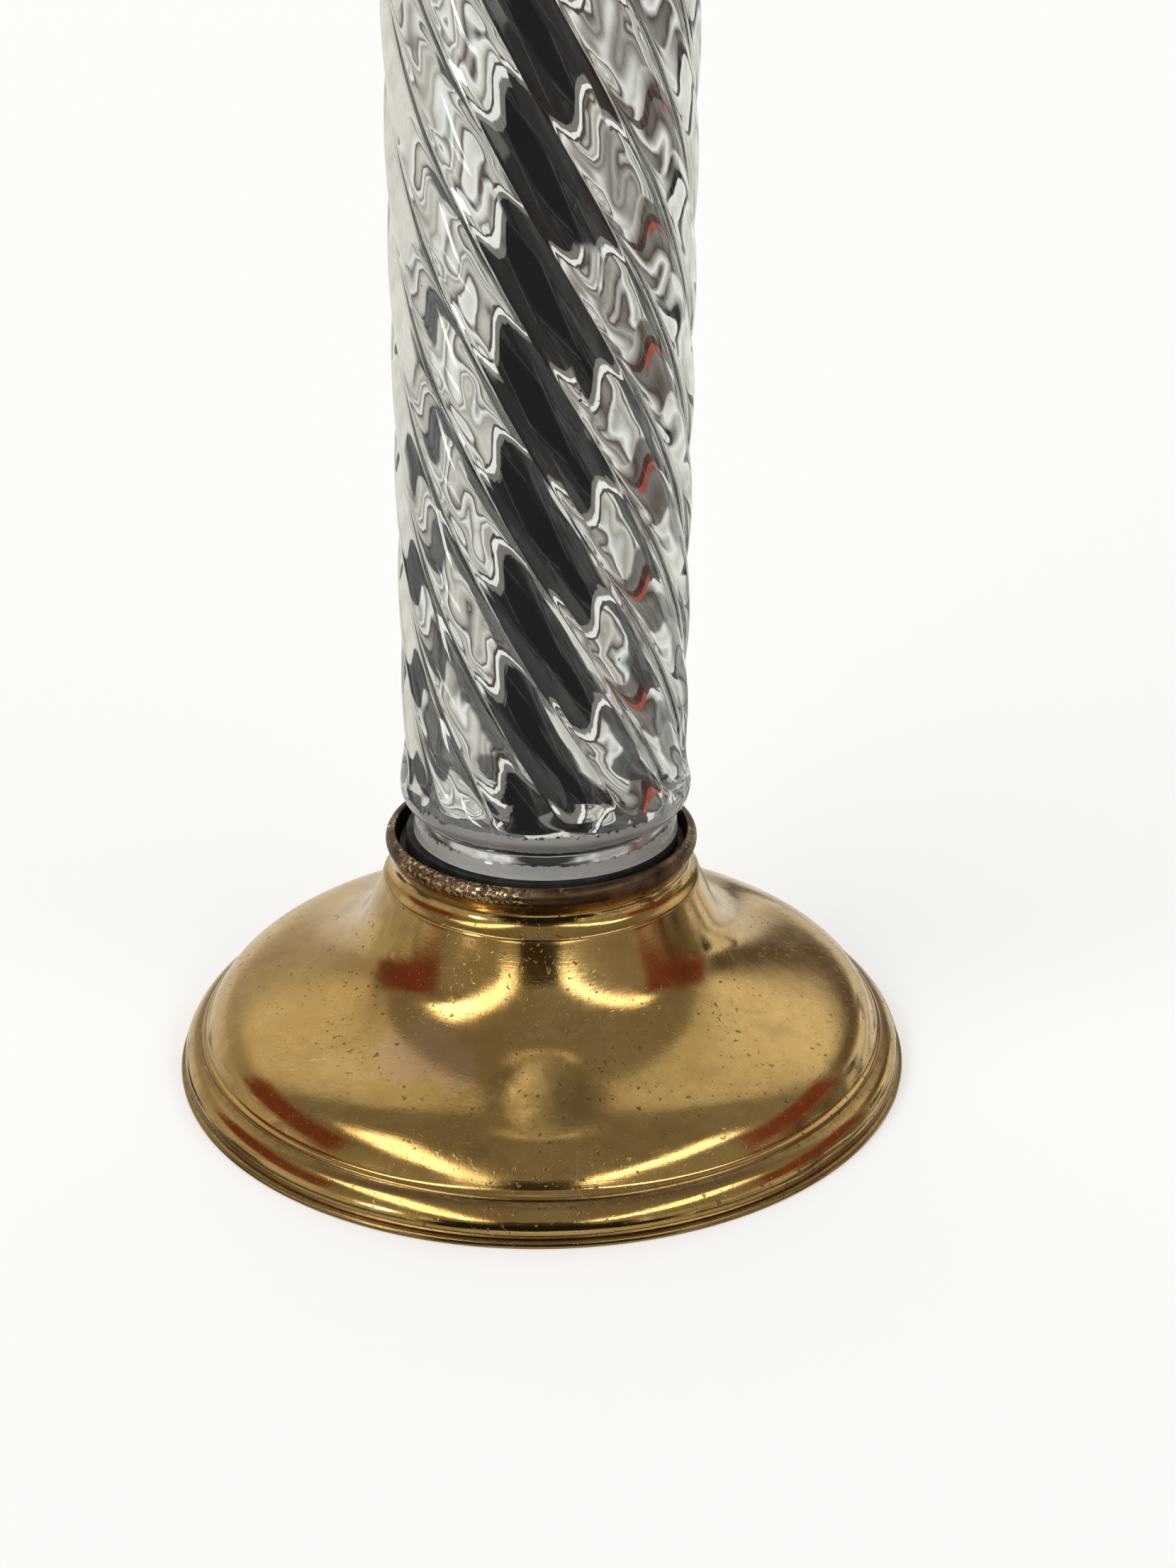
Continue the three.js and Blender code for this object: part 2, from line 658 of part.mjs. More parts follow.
// A globe's or a bulb's outline starts on the axis inside and ends on the axis outside.
function globe() {
  const centre = GLOBE_NECK_H + Math.sqrt(GLOBE_R ** 2 - GLOBE_NECK_R ** 2);
  const innerNeckR = GLOBE_NECK_R - GLOBE_WALL;
  const innerR = GLOBE_R - GLOBE_WALL;
  const degrees = THREE.MathUtils.radToDeg;
  const innerStart = -degrees(Math.acos(innerNeckR / innerR));
  const outerStart = -degrees(Math.acos(GLOBE_NECK_R / GLOBE_R));
  const inside = arc(0, centre, innerR, 90, innerStart, 10);
  const outside = arc(0, centre, GLOBE_R, outerStart, 90, 10);
  inside[0].x = 0;
  outside.at(-1).x = 0;
  const outline = [
    ...inside,
    v2(innerNeckR, 0),
    v2(GLOBE_LIP_R - 1, 0),
    v2(GLOBE_LIP_R, 1),
    v2(GLOBE_LIP_R, GLOBE_LIP_H - 1.6),
    v2(GLOBE_NECK_R + 0.6, GLOBE_LIP_H),
    v2(GLOBE_NECK_R, GLOBE_LIP_H + 1.6),
    ...outside,
  ];
  return piece('globe', turned(lifted(outline, GLOBE_Z), LARGE), MILK_GLASS);
}

// ---- lamp holder ----------------------------------------------------------------------------------
function socketCap() {
  const outline = [
    v2(ROD_R + THREAD_GAP, 0),
    v2(8.5, 0),
    v2(8.5, 3.5),
    v2(12, 6),
    v2(17, 8),
    v2(SOCKET_R, 11),
    v2(SOCKET_R, 17.5),
    v2(SOCKET_R - SHEET, 17.5),
    v2(SOCKET_R - SHEET, 11.4),
    v2(16.5, 9),
    v2(11.6, 7),
    v2(ROD_R + THREAD_GAP, 6),
  ];
  return piece('socket_cap', turned(lifted(outline, SOCKET_Z), SMALL), BRASS);
}

function socketShell() {
  const outline = [
    v2(16.5, 13.5),
    v2(17.4, 13.5),
    v2(17.4, 17.9),
    v2(SOCKET_R, 18.6),
    v2(SOCKET_R, 20.4),
    v2(17.8, 21.4),
    v2(17.8, SOCKET_H),
    v2(17, SOCKET_H),
    v2(17, 21),
    v2(16.5, 20),
  ];
  return piece('socket_shell', turned(lifted(outline, SOCKET_Z), SMALL), BRASS);
}

function socketBody() {
  const body = disc(BODY_R, BODY_Z, BODY_Z + BODY_T, SMALL);
  const hole = disc(SMALL_SCREW_R + GAP, BODY_Z - PAST, BODY_Z + SOCKET_HOLE_DEPTH, TINY);
  const left = hole.clone().translate(-SOCKET_SCREW_X, 0, 0);
  const right = hole.clone().translate(SOCKET_SCREW_X, 0, 0);
  return piece('socket_body', cut(body, left, right), PORCELAIN);
}

function socketInside() {
  const floorZ = BODY_Z + BODY_T + GAP;
  const shell = turned([
    v2(SCREW_SHELL_BORE_R, floorZ),
    v2(SCREW_SHELL_R, floorZ),
    v2(SCREW_SHELL_R, floorZ + SCREW_SHELL_H),
    v2(SCREW_SHELL_R - 0.5, floorZ + SCREW_SHELL_H),
    v2(SCREW_SHELL_R - 0.5, floorZ + 0.6),
    v2(SCREW_SHELL_BORE_R, floorZ + 0.6),
  ], SMALL);
  const linerTop = SOCKET_Z + SOCKET_H - LINER_BELOW;
  const screwHeadZ = BODY_Z - SMALL_HEAD_H - HEAD_GAP;
  const screws = [-SOCKET_SCREW_X, SOCKET_SCREW_X].map((x, i) => (
    smallScrew(`socket_screw_${i + 1}`, v2(x, 0), screwHeadZ, SOCKET_SCREW_REACH)));
  return [
    socketBody(),
    piece('socket_liner', ring(LINER_R, LINER_R - LINER_T, floorZ, linerTop, SMALL), FIBRE),
    piece('screw_shell', shell, BRASS),
    piece('centre_contact', disc(CONTACT_R, floorZ, BULB_Z - GAP, TINY), BRASS),
    ...screws,
  ];
}

// ---- bulb -------------------------------------------------------------------------------------------
function bulb() {
  const contact = [v2(0, 0), v2(3, 0.3), v2(4.6, 1.1), v2(4.6, 1.5), v2(0, 1.5)];
  const insulator = [v2(0, 1.8), v2(4.8, 1.8), v2(9, 4.6), v2(9, 5.6), v2(0, 5.6)];
  const cap = [
    v2(8.8, 5.9),
    v2(9.4, 5.9),
    v2(BULB_CAP_R, 9),
    v2(BULB_CAP_R, 23.5),
    v2(BULB_CAP_R - 0.5, 23.5),
    v2(BULB_CAP_R - 0.5, 9.3),
    v2(8.8, 6.5),
  ];
  const middle = BULB_LENGTH - BULB_R;
  const outside = smooth([v2(12, 17), v2(12.2, 24), v2(14.6, 34), v2(20, 46), v2(23.2, 55)], 5);
  const crown = arc(0, middle, BULB_R, -8, 90, 6);
  crown.at(-1).x = 0;
  const shell = [...outside, ...crown];
  const lining = [...shell].reverse().map((p) => v2(Math.max(0, p.x - BULB_WALL), p.y));
  // Near the crown's top the wall is measured more up than out.
  [1, 0.9, 0.7].forEach((share, i) => { lining[i].y -= BULB_WALL * share; });
  const stem = [
    v2(0, 19),
    v2(9, 19),
    v2(8.4, 20),
    v2(3.4, 28),
    v2(2.4, 34),
    v2(2.4, 45),
    v2(3.2, 46.4),
    v2(2, 48),
    v2(0, 48),
  ];
  const coil = [
    v3(-1.6, 0, 48.5),
    v3(-4.5, 0, 55),
    v3(-9.5, 0, 63),
    v3(-6, 0, 66),
    v3(0, 0, 64.4),
    v3(6, 0, 66),
    v3(9.5, 0, 63),
    v3(4.5, 0, 55),
    v3(1.6, 0, 48.5),
  ];
  const group = new THREE.Group();
  group.position.z = BULB_Z;
  group.add(
    piece('bulb_contact', turned(contact, TINY), BRASS),
    piece('bulb_insulator', turned(insulator, SMALL), BLACK_PLASTIC),
    piece('bulb_cap', turned(cap, SMALL), BRASS),
    piece('bulb_glass', turned([...lining, ...shell], SMALL), CLEAR_GLASS),
    piece('bulb_stem', turned(stem, TINY), CLEAR_GLASS),
    piece('bulb_filament', bar(coil, FILAMENT_R, WIRE_STEPS, FILAMENT_SIDES), TUNGSTEN),
  );
  return group;
}

// ---- assembly -----------------------------------------------------------------------------------------
function foot() {
  const washerZ = NUT_POCKET_TOP_Z - GAP - WASHER_T;
  return [
    baseShell(),
    baseFelt(),
    baseWeight(),
    washer('base_washer', washerZ),
    nut('base_nut', washerZ - GAP - NUT_H),
    spacerSleeve(),
    cordBushing(),
    ...wiringInFoot(),
    lead('lead_wire_1', -1, BLACK_PLASTIC),
    lead('lead_wire_2', 1, WHITE_PLASTIC),
  ];
}

function column() {
  return [
    centreRod(),
    ...seat('lower', (h) => BEAD_Z + h),
    glassColumn(),
    ...seat('upper', (h) => CAP_Z - h),
  ];
}

function lampEnd() {
  const parts = [
    topCap(),
    globeHolder(),
    washer('lock_washer', TOP_WASHER_Z),
    nut('top_nut', TOP_NUT_Z),
    socketCap(),
    socketShell(),
    ...socketInside(),
    bulb(),
    globe(),
  ];
  for (let i = 0; i < THUMBSCREWS; i += 1) parts.push(thumbscrew(i));
  return parts;
}

const lamp = new THREE.Group();
lamp.name = 'barber_pole_light';
lamp.add(...foot(), ...column(), ...lampEnd());

export default lamp;
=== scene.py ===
"""Looks of the barber pole light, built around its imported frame. Metres, +Z up."""
import json
import math

import bmesh
import bpy
import numpy as np
from mathutils import Matrix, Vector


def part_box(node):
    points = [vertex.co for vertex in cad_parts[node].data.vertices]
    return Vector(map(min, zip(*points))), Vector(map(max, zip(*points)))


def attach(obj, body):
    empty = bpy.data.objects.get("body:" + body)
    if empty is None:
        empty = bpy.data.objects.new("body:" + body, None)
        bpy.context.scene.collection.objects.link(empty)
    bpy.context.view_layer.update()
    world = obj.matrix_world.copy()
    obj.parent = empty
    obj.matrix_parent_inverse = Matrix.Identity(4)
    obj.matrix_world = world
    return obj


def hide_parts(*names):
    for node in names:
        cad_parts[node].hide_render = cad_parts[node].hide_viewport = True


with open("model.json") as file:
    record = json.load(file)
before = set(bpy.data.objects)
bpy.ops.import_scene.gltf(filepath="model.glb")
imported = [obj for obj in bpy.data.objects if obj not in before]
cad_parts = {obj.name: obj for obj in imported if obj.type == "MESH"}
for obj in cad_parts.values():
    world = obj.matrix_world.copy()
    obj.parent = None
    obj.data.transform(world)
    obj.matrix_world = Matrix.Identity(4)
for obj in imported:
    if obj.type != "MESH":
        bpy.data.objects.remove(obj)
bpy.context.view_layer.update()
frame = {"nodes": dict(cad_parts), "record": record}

MM = 0.001  # outlines are written in millimetres


# ---- sizes, from the frame ------------------------------------------------------------------
def mm_box(node):
    """The low and high corners of a CAD node, in mm."""
    low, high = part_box(node)
    return np.array(low) / MM, np.array(high) / MM


FOOT_LOW, FOOT_HIGH = mm_box("base_shell")
GLASS_LOW, GLASS_HIGH = mm_box("glass_column")
CAP_LOW, CAP_HIGH = mm_box("top_cap")
HOLDER_LOW, HOLDER_HIGH = mm_box("globe_holder")
GLOBE_LOW, GLOBE_HIGH = mm_box("globe")

FOOT_R = (FOOT_HIGH[0] - FOOT_LOW[0]) / 2
BEAD_R = 2.6
BEAD_W = 2.1  # it is rolled thin, and taller than wide
BEAD_RING_R = 39.9
BEAD_Z = FOOT_HIGH[2] - BEAD_R
CAP_BEAD_Z = CAP_LOW[2] + BEAD_R
CAP_TOP_Z = CAP_HIGH[2]
COLLAR_H = 11
COLLAR_EDGE_R = 43.5
COVE_DEPTH = 3
PATINA_REACH = 2.1  # the bead's patina reaches this far past its middle
SHEET = 0.9
PIPE_HOLE_R = 5.1

GLASS_X = (GLASS_LOW[0] + GLASS_HIGH[0]) / 2
GLASS_Z = GLASS_LOW[2]
GLASS_LENGTH = GLASS_HIGH[2] - GLASS_LOW[2]
THUMBSCREWS = (1, 2, 3)


# ---- camera ---------------------------------------------------------------------------------
CAMERA_AT = (0.1198, -5.841, 3.364)  # in radii of the foot
CAMERA_DOWN = math.radians(23.757)
CAMERA_ROLL = math.radians(-0.12)
LENS = 54.87
SENSOR = 36
NEAREST = 0.01


def make_camera():
    """A close, hand-held view from above the foot, which cuts the column off at its top."""
    r = FOOT_R * MM
    data = bpy.data.cameras.new("camera")
    data.lens = LENS
    data.sensor_width = SENSOR
    data.clip_start = NEAREST
    camera = bpy.data.objects.new("camera", data)
    camera.location = [part * r for part in CAMERA_AT]
    camera.rotation_euler = (math.pi / 2 - CAMERA_DOWN, CAMERA_ROLL, 0)
    bpy.context.scene.collection.objects.link(camera)
    bpy.context.scene.camera = camera


make_camera()


# ---- outlines -------------------------------------------------------------------------------
def arc(x, y, r, start, end, steps):
    """Points along a circular arc, angles in degrees."""
    a = np.radians(np.linspace(start, end, steps + 1))
    return np.column_stack([x + r * np.cos(a), y + r * np.sin(a)])


def fair(points, count):
    """A natural cubic spline through the points, sampled evenly along its chords."""
    p = np.array(points, float)
    t = np.r_[0, np.cumsum(np.linalg.norm(np.diff(p, axis=0), axis=1))]
    h = np.diff(t)
    system, right = np.eye(len(t)), np.zeros(p.shape)
    for i in range(1, len(t) - 1):
        system[i, i - 1:i + 2] = h[i - 1], 2 * (h[i - 1] + h[i]), h[i]
        right[i] = 6 * ((p[i + 1] - p[i]) / h[i] - (p[i] - p[i - 1]) / h[i - 1])
    bend = np.linalg.solve(system, right)
    at = np.linspace(0, t[-1], count)
    k = np.clip(np.searchsorted(t, at, side="right") - 1, 0, len(h) - 1)
    a, b, hk = (t[k + 1] - at)[:, None], (at - t[k])[:, None], h[k][:, None]
    cubic = (bend[k] * a**3 + bend[k + 1] * b**3) / (6 * hk)
    line = (p[k] / hk - bend[k] * hk / 6) * a + (p[k + 1] / hk - bend[k + 1] * hk / 6) * b
    return cubic + line


def joined(*runs):
    """Runs of points as one outline, without repeated points."""
    points = np.vstack([np.atleast_2d(np.array(run, float)) for run in runs])
    keep = np.r_[True, np.linalg.norm(np.diff(points, axis=0), axis=1) > 1e-4]
    return points[keep]


# ---- meshes ---------------------------------------------------------------------------------
def to_object(name, vertices, faces, sharp):
    """A smooth-shaded mesh object from points in metres, creased where it turns by over sharp
    degrees."""
    mesh = bpy.data.meshes.new(name)
    mesh.from_pydata([tuple(v) for v in vertices], [], faces)
    work = bmesh.new()
    work.from_mesh(mesh)
    bmesh.ops.recalc_face_normals(work, faces=work.faces)
    work.to_mesh(mesh)
    work.free()
    mesh.shade_smooth()
    mesh.set_sharp_from_angle(angle=math.radians(sharp))
    obj = bpy.data.objects.new(name, mesh)
    bpy.context.scene.collection.objects.link(obj)
    return obj


def lathe(name, outline, sides=192, shape=None, sharp=40):
    """A (radius, height) outline in mm turned about Z. shape(r, z, angle) may change the radii.
    The outline closes on itself unless it starts and ends on the axis."""
    points = np.array(outline, float)
    angles = np.linspace(0, 2 * np.pi, sides, endpoint=False)
    on_axis = points[:, 0] < 1e-6
    closed = not (on_axis[0] and on_axis[-1])
    vertices, rows = [], []
    for (r, z), single in zip(points, on_axis):
        start = len(vertices)
        if single:
            vertices.append((0, 0, z))
            rows.append([start] * sides)
            continue
        radii = np.full(sides, r) if shape is None else shape(r, z, angles)
        vertices.extend(zip(radii * np.cos(angles), radii * np.sin(angles), np.full(sides, z)))
        rows.append(list(range(start, start + sides)))
    pairs = list(zip(rows, rows[1:])) + ([(rows[-1], rows[0])] if closed else [])
    faces = []
    for low, high in pairs:
        for k in range(sides):
            n = (k + 1) % sides
            corners = list(dict.fromkeys([low[k], low[n], high[n], high[k]]))
            if len(corners) > 2:
                faces.append(corners)
    return to_object(name, np.array(vertices) * MM, faces, sharp)


def place(obj, body, slot, *replaced, material=None):
    """Puts a piece on its body, with its finish, in place of the CAD nodes it stands for."""
    obj.data.materials.clear()
    obj.data.materials.append(material or LOOKS[slot])
    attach(obj, body)
    if replaced:
        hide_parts(*replaced)


# ---- materials ------------------------------------------------------------------------------
class Nodes:
    """A node tree under construction."""

    def __init__(self, tree):
        self.tree = tree
        self.tree.nodes.clear()

    def set(self, node, key, value):
        """Links an output to a node's input, or sets the input's own value."""
        socket = node.inputs[key]
        if isinstance(value, bpy.types.NodeSocket):
            self.tree.links.new(value, socket)
        elif isinstance(value, tuple) and len(value) == 3 and socket.type == "RGBA":
            socket.default_value = (*value, 1)
        else:
            socket.default_value = value

    def add(self, kind, **inputs):
        """A new node, with its inputs set by name."""
        node = self.tree.nodes.new(kind)
        for key, value in inputs.items():
            self.set(node, key.replace("_", " "), value)
        return node

    def math(self, operation, *values):
        """The output of a math node."""
        node = self.tree.nodes.new("ShaderNodeMath")
        node.operation = operation
        for i, value in enumerate(values):
            self.set(node, i, value)
        return node.outputs[0]

    def noise(self, scale, detail=3, roughness=0.5, distortion=0, at=None, stretch=None):
        """A noise value from 0 to 1; stretch multiplies the coordinates along each axis."""
        where = at or self.place
        if stretch:
            where = self.add("ShaderNodeMapping", Vector=where, Scale=stretch).outputs[0]
        node = self.add("ShaderNodeTexNoise", Vector=where, Scale=scale, Detail=detail)
        self.set(node, "Roughness", roughness)
        self.set(node, "Distortion", distortion)
        return node.outputs["Fac"]

    def step(self, value, low, high, to_low=0.0, to_high=1.0):
        """value mapped smoothly from low..high to to_low..to_high, and held outside it."""
        node = self.tree.nodes.new("ShaderNodeMapRange")
        node.interpolation_type = "SMOOTHSTEP"
        for i, v in enumerate((value, low, high, to_low, to_high)):
            self.set(node, i, v)
        return node.outputs[0]

    def mix(self, amount, first, second):
        """The first colour at amount 0, and the second at 1."""
        node = self.tree.nodes.new("ShaderNodeMix")
        node.data_type = "RGBA"
        self.set(node, 0, amount)
        self.set(node, 6, first)
        self.set(node, 7, second)
        return node.outputs[2]

    def ramp(self, value, *stops):
        """A colour from a value, through (position, colour) stops."""
        node = self.add("ShaderNodeValToRGB", Fac=value)
        elements = node.color_ramp.elements
        elements.remove(elements[1])
        elements[0].position = stops[0][0]
        elements[0].color = (*stops[0][1], 1)
        for position, colour in stops[1:]:
            elements.new(position).color = (*colour, 1)
        return node.outputs[0]

    def band(self, value, middle, half_width):
        """1 at the middle, falling smoothly to 0 at half_width from it."""
        away = self.math("ABSOLUTE", self.math("SUBTRACT", value, middle))
        return self.step(away, 0, half_width, 1, 0)

    def largest(self, first, second):
        return self.math("MAXIMUM", first, second)

    def bump(self, height, distance, after=None):
        """A relief of the height value, distance metres deep, laid over an earlier one."""
        node = self.add("ShaderNodeBump", Height=height, Distance=distance, Strength=1.0)
        if after:
            self.set(node, "Normal", after)
        return node.outputs[0]


class Look(Nodes):
    """A material under construction. Coordinates are metres in the object's frame."""

    def __init__(self, name, **settings):
        self.material = bpy.data.materials.new(name)
        self.material.use_nodes = True
        super().__init__(self.material.node_tree)
        self.shader = self.add("ShaderNodeBsdfPrincipled")
        self.add("ShaderNodeOutputMaterial", Surface=self.shader.outputs[0])
        for key, value in settings.items():
            self.set(self.shader, key.replace("_", " ").title().replace("Ior", "IOR"), value)
        self.place = self.add("ShaderNodeTexCoord").outputs["Object"]
        parts = self.add("ShaderNodeSeparateXYZ", Vector=self.place)
        self.x, self.y, self.z = parts.outputs

    def done(self, **finish):
        """The finished material, with the shader's inputs set by name."""
        for key, value in finish.items():
            self.set(self.shader, key.replace("_", " ").title(), value)
        return self.material


def aged_brass(name, tarnish_heights, rubbed_spots=()):
    """Old spun brass: hazy gold with olive clouds, dark spots, hairline scratches, and brown
    tarnish round the given (height, half width, strength) creases. It is rubbed to a coppery
    haze about the given (x, y, radius) spots."""
    look = Look(name, metallic=1.0)
    dull, coppery, brown = (0.48, 0.3, 0.1), (0.68, 0.44, 0.25), (0.19, 0.115, 0.05)
    pit, scratch = (0.12, 0.075, 0.035), (0.85, 0.72, 0.45)
    clouds = look.noise(19, detail=4, roughness=0.6, distortion=0.6)
    mottle = look.noise(320, detail=6, roughness=0.65)
    colour = look.ramp(
        clouds,
        (0.34, (0.5, 0.32, 0.105)),
        (0.5, (0.61, 0.405, 0.145)),
        (0.68, (0.69, 0.48, 0.19)),
    )
    colour = look.mix(look.step(mottle, 0.35, 0.7, 0.0, 0.4), colour, dull)
    blotch_area = look.step(look.noise(34, detail=2), 0.42, 0.58)
    spot = look.step(look.noise(600, detail=2, roughness=0.4), 0.66, 0.7)
    pepper = look.step(look.noise(1500, detail=1), 0.72, 0.76)
    spots = look.largest(look.math("MULTIPLY", spot, blotch_area), look.math("MULTIPLY", pepper, 0.7))
    hairlines = look.math("MULTIPLY", hair_scratches(look), look.step(look.noise(60), 0.45, 0.6))
    tarnish = look.math("MULTIPLY", look.step(look.noise(48, detail=5, distortion=0.5), 0.5, 0.74), 0.4)
    for height, half_width, strength in tarnish_heights:
        crease = look.math("MULTIPLY", look.band(look.z, height * MM, half_width * MM), strength)
        tarnish = look.largest(tarnish, crease)
    for x, y, radius in rubbed_spots:
        colour = look.mix(rubbed_cover(look, x, y, radius), colour, coppery)
    ragged = look.math("MULTIPLY", tarnish, look.step(mottle, 0.2, 0.75, 1.15, 0.7))
    colour = look.mix(ragged, colour, brown)
    colour = look.mix(look.math("MULTIPLY", spots, 0.7), colour, pit)
    colour = look.mix(look.math("MULTIPLY", hairlines, 0.5), colour, scratch)
    haze = look.step(look.noise(90, detail=5, roughness=0.7), 0.3, 0.7, 0.085, 0.17)
    rough = look.math("ADD", haze, look.math("MULTIPLY", look.largest(ragged, spots), 0.22))
    rings = look.noise(1, detail=3, at=spun_coordinates(look))
    relief = look.bump(look.noise(1400, detail=3, roughness=0.6), 0.000012)
    relief = look.bump(rings, 0.00001, relief)
    relief = look.bump(look.noise(120, detail=4), 0.00005, relief)
    relief = look.bump(look.math("MULTIPLY", spots, -1), 0.00003, relief)
    return look.done(base_color=colour, roughness=rough, normal=relief)


def rubbed_cover(look, x, y, radius):
    """Ragged cover of a rubbed spot at (x, y), in mm."""
    across = look.math("SUBTRACT", look.x, x * MM)
    along = look.math("SUBTRACT", look.y, y * MM)
    squares = look.math("MULTIPLY_ADD", across, across, look.math("MULTIPLY", along, along))
    away = look.math("SQRT", squares)
    ragged = look.math("MULTIPLY_ADD", look.noise(140, detail=4), radius * MM, away)
    return look.step(ragged, radius * 1.15 * MM, radius * 1.6 * MM, 0.75, 0)


def hair_scratches(look):
    """Thin lines from noise stretched along three directions."""
    lines = None
    for turn in (0.35, 1.6, 2.5):
        turned = look.add("ShaderNodeMapping", Vector=look.place, Rotation=(0.2, turn, turn))
        field = look.noise(30, detail=2, at=turned.outputs[0], stretch=(1.0, 34.0, 3.0))
        line = look.band(field, 0.5, 0.006)
        lines = line if lines is None else look.largest(lines, line)
    return lines


def spun_coordinates(look):
    """Coordinates that change across the turning marks of a spinning but hardly along them."""
    flat = look.add("ShaderNodeCombineXYZ", X=look.x, Y=look.y, Z=0.0)
    radius = look.add("ShaderNodeVectorMath")
    radius.operation = "LENGTH"
    look.tree.links.new(flat.outputs[0], radius.inputs[0])
    across = look.math("MULTIPLY", radius.outputs["Value"], 1600)
    up = look.math("MULTIPLY", look.z, 1600)
    along = look.math("MULTIPLY", look.x, 25)
    return look.add("ShaderNodeCombineXYZ", X=across, Y=up, Z=along).outputs[0]


def worn_bead():
    """The rolled edge: nearly black-brown patina rubbed through to bright flecks."""
    look = Look("bead_patina", metallic=1.0)
    fleck = look.noise(950, detail=4, roughness=0.65)
    rubbed = look.noise(55, detail=3, distortion=0.4)
    bright = look.math("MULTIPLY", look.step(fleck, 0.5, 0.56), look.step(rubbed, 0.46, 0.56))
    base = look.ramp(
        look.noise(160, detail=4),
        (0.3, (0.07, 0.042, 0.026)),
        (0.55, (0.165, 0.1, 0.06)),
        (0.75, (0.28, 0.19, 0.12)),
    )
    colour = look.mix(bright, base, (0.72, 0.56, 0.32))
    rough = look.step(bright, 0, 1, 0.42, 0.25)
    relief = look.bump(look.noise(900, detail=4), 0.00005)
    return look.done(base_color=colour, roughness=rough, normal=relief)


def column_glass():
    """Clear pressed glass."""
    look = Look("column_glass", transmission_weight=1.0, ior=1.5, base_color=(0.985, 0.99, 0.985))
    smear = look.step(look.noise(90, detail=3), 0.6, 0.75, 0.0, 0.012)
    relief = look.bump(look.noise(55, detail=1), 0.00005)
    return look.done(roughness=smear, normal=relief)


def silvering():
    """The mirror coat inside the glass, with pin-holes, and worn away at both ends."""
    look = Look("silvering")
    pin = look.step(look.noise(420, detail=2), 0.7, 0.73)
    patch = look.step(look.noise(26, detail=2), 0.6, 0.68)
    ragged = look.noise(260, detail=4, roughness=0.65)
    middle = look.math("ABSOLUTE", look.math("SUBTRACT", look.z, (GLASS_Z + GLASS_LENGTH / 2) * MM))
    from_end = look.math("SUBTRACT", GLASS_LENGTH / 2 * MM, middle)
    edge = look.math("MULTIPLY_ADD", ragged, 0.0022, from_end)
    bulge_end, neck_end, rim_end = 0.0134, 0.0071, 0.0034
    bulge = look.step(edge, bulge_end, bulge_end + 0.0003, 1, 0)
    neck = look.step(edge, neck_end, neck_end + 0.0003, 1, 0)
    rim = look.step(edge, rim_end, rim_end + 0.0002, 1, 0)
    peeled = look.largest(look.band(edge, bulge_end, 0.0007), look.band(edge, rim_end, 0.0005))
    specks = look.step(look.noise(700, detail=3), 0.52, 0.57)
    flaw = look.largest(
        look.math("MULTIPLY", pin, patch),
        look.math("MULTIPLY", look.math("MULTIPLY", peeled, specks), look.step(look.noise(38), 0.45, 0.55)),
    )
    cloudy = look.step(look.noise(60, detail=5), 0.35, 0.75)
    colour = look.mix(cloudy, (0.9, 0.9, 0.885), (0.8, 0.8, 0.785))
    colour = look.mix(bulge, colour, look.mix(cloudy, (0.9, 0.92, 0.94), (0.76, 0.78, 0.8)))
    colour = look.mix(neck, colour, (0.95, 0.96, 0.96))
    colour = look.mix(rim, colour, (0.97, 0.97, 0.96))
    colour = look.mix(flaw, colour, (0.02, 0.02, 0.02))
    relief = look.bump(look.noise(110, detail=0.5), 0.00005)
    rough = look.math("MULTIPLY_ADD", bulge, 0.5, 0.005)
    rough = look.math("SUBTRACT", rough, look.math("MULTIPLY", neck, 0.38))
    rough = look.math("MULTIPLY_ADD", rim, 0.45, rough)
    metal = look.step(rim, 0, 1, 1, 0.25)
    return look.done(base_color=colour, roughness=rough, metallic=metal, normal=relief)


def simple_look(name, light, dark, scale, rough, relief, metallic, **settings):
    """Two shades mixed by noise, uneven roughness and a fine relief."""
    look = Look(name, metallic=metallic, **settings)
    grain = look.noise(scale, detail=5, roughness=0.6)
    colour = look.mix(look.step(grain, 0.35, 0.68), dark, light)
    uneven = look.step(look.noise(scale * 0.6, detail=3), 0.3, 0.7, rough[0], rough[1])
    bumps = look.bump(look.noise(scale * 2.2, detail=4), relief * MM)
    return look.done(base_color=colour, roughness=uneven, normal=bumps)


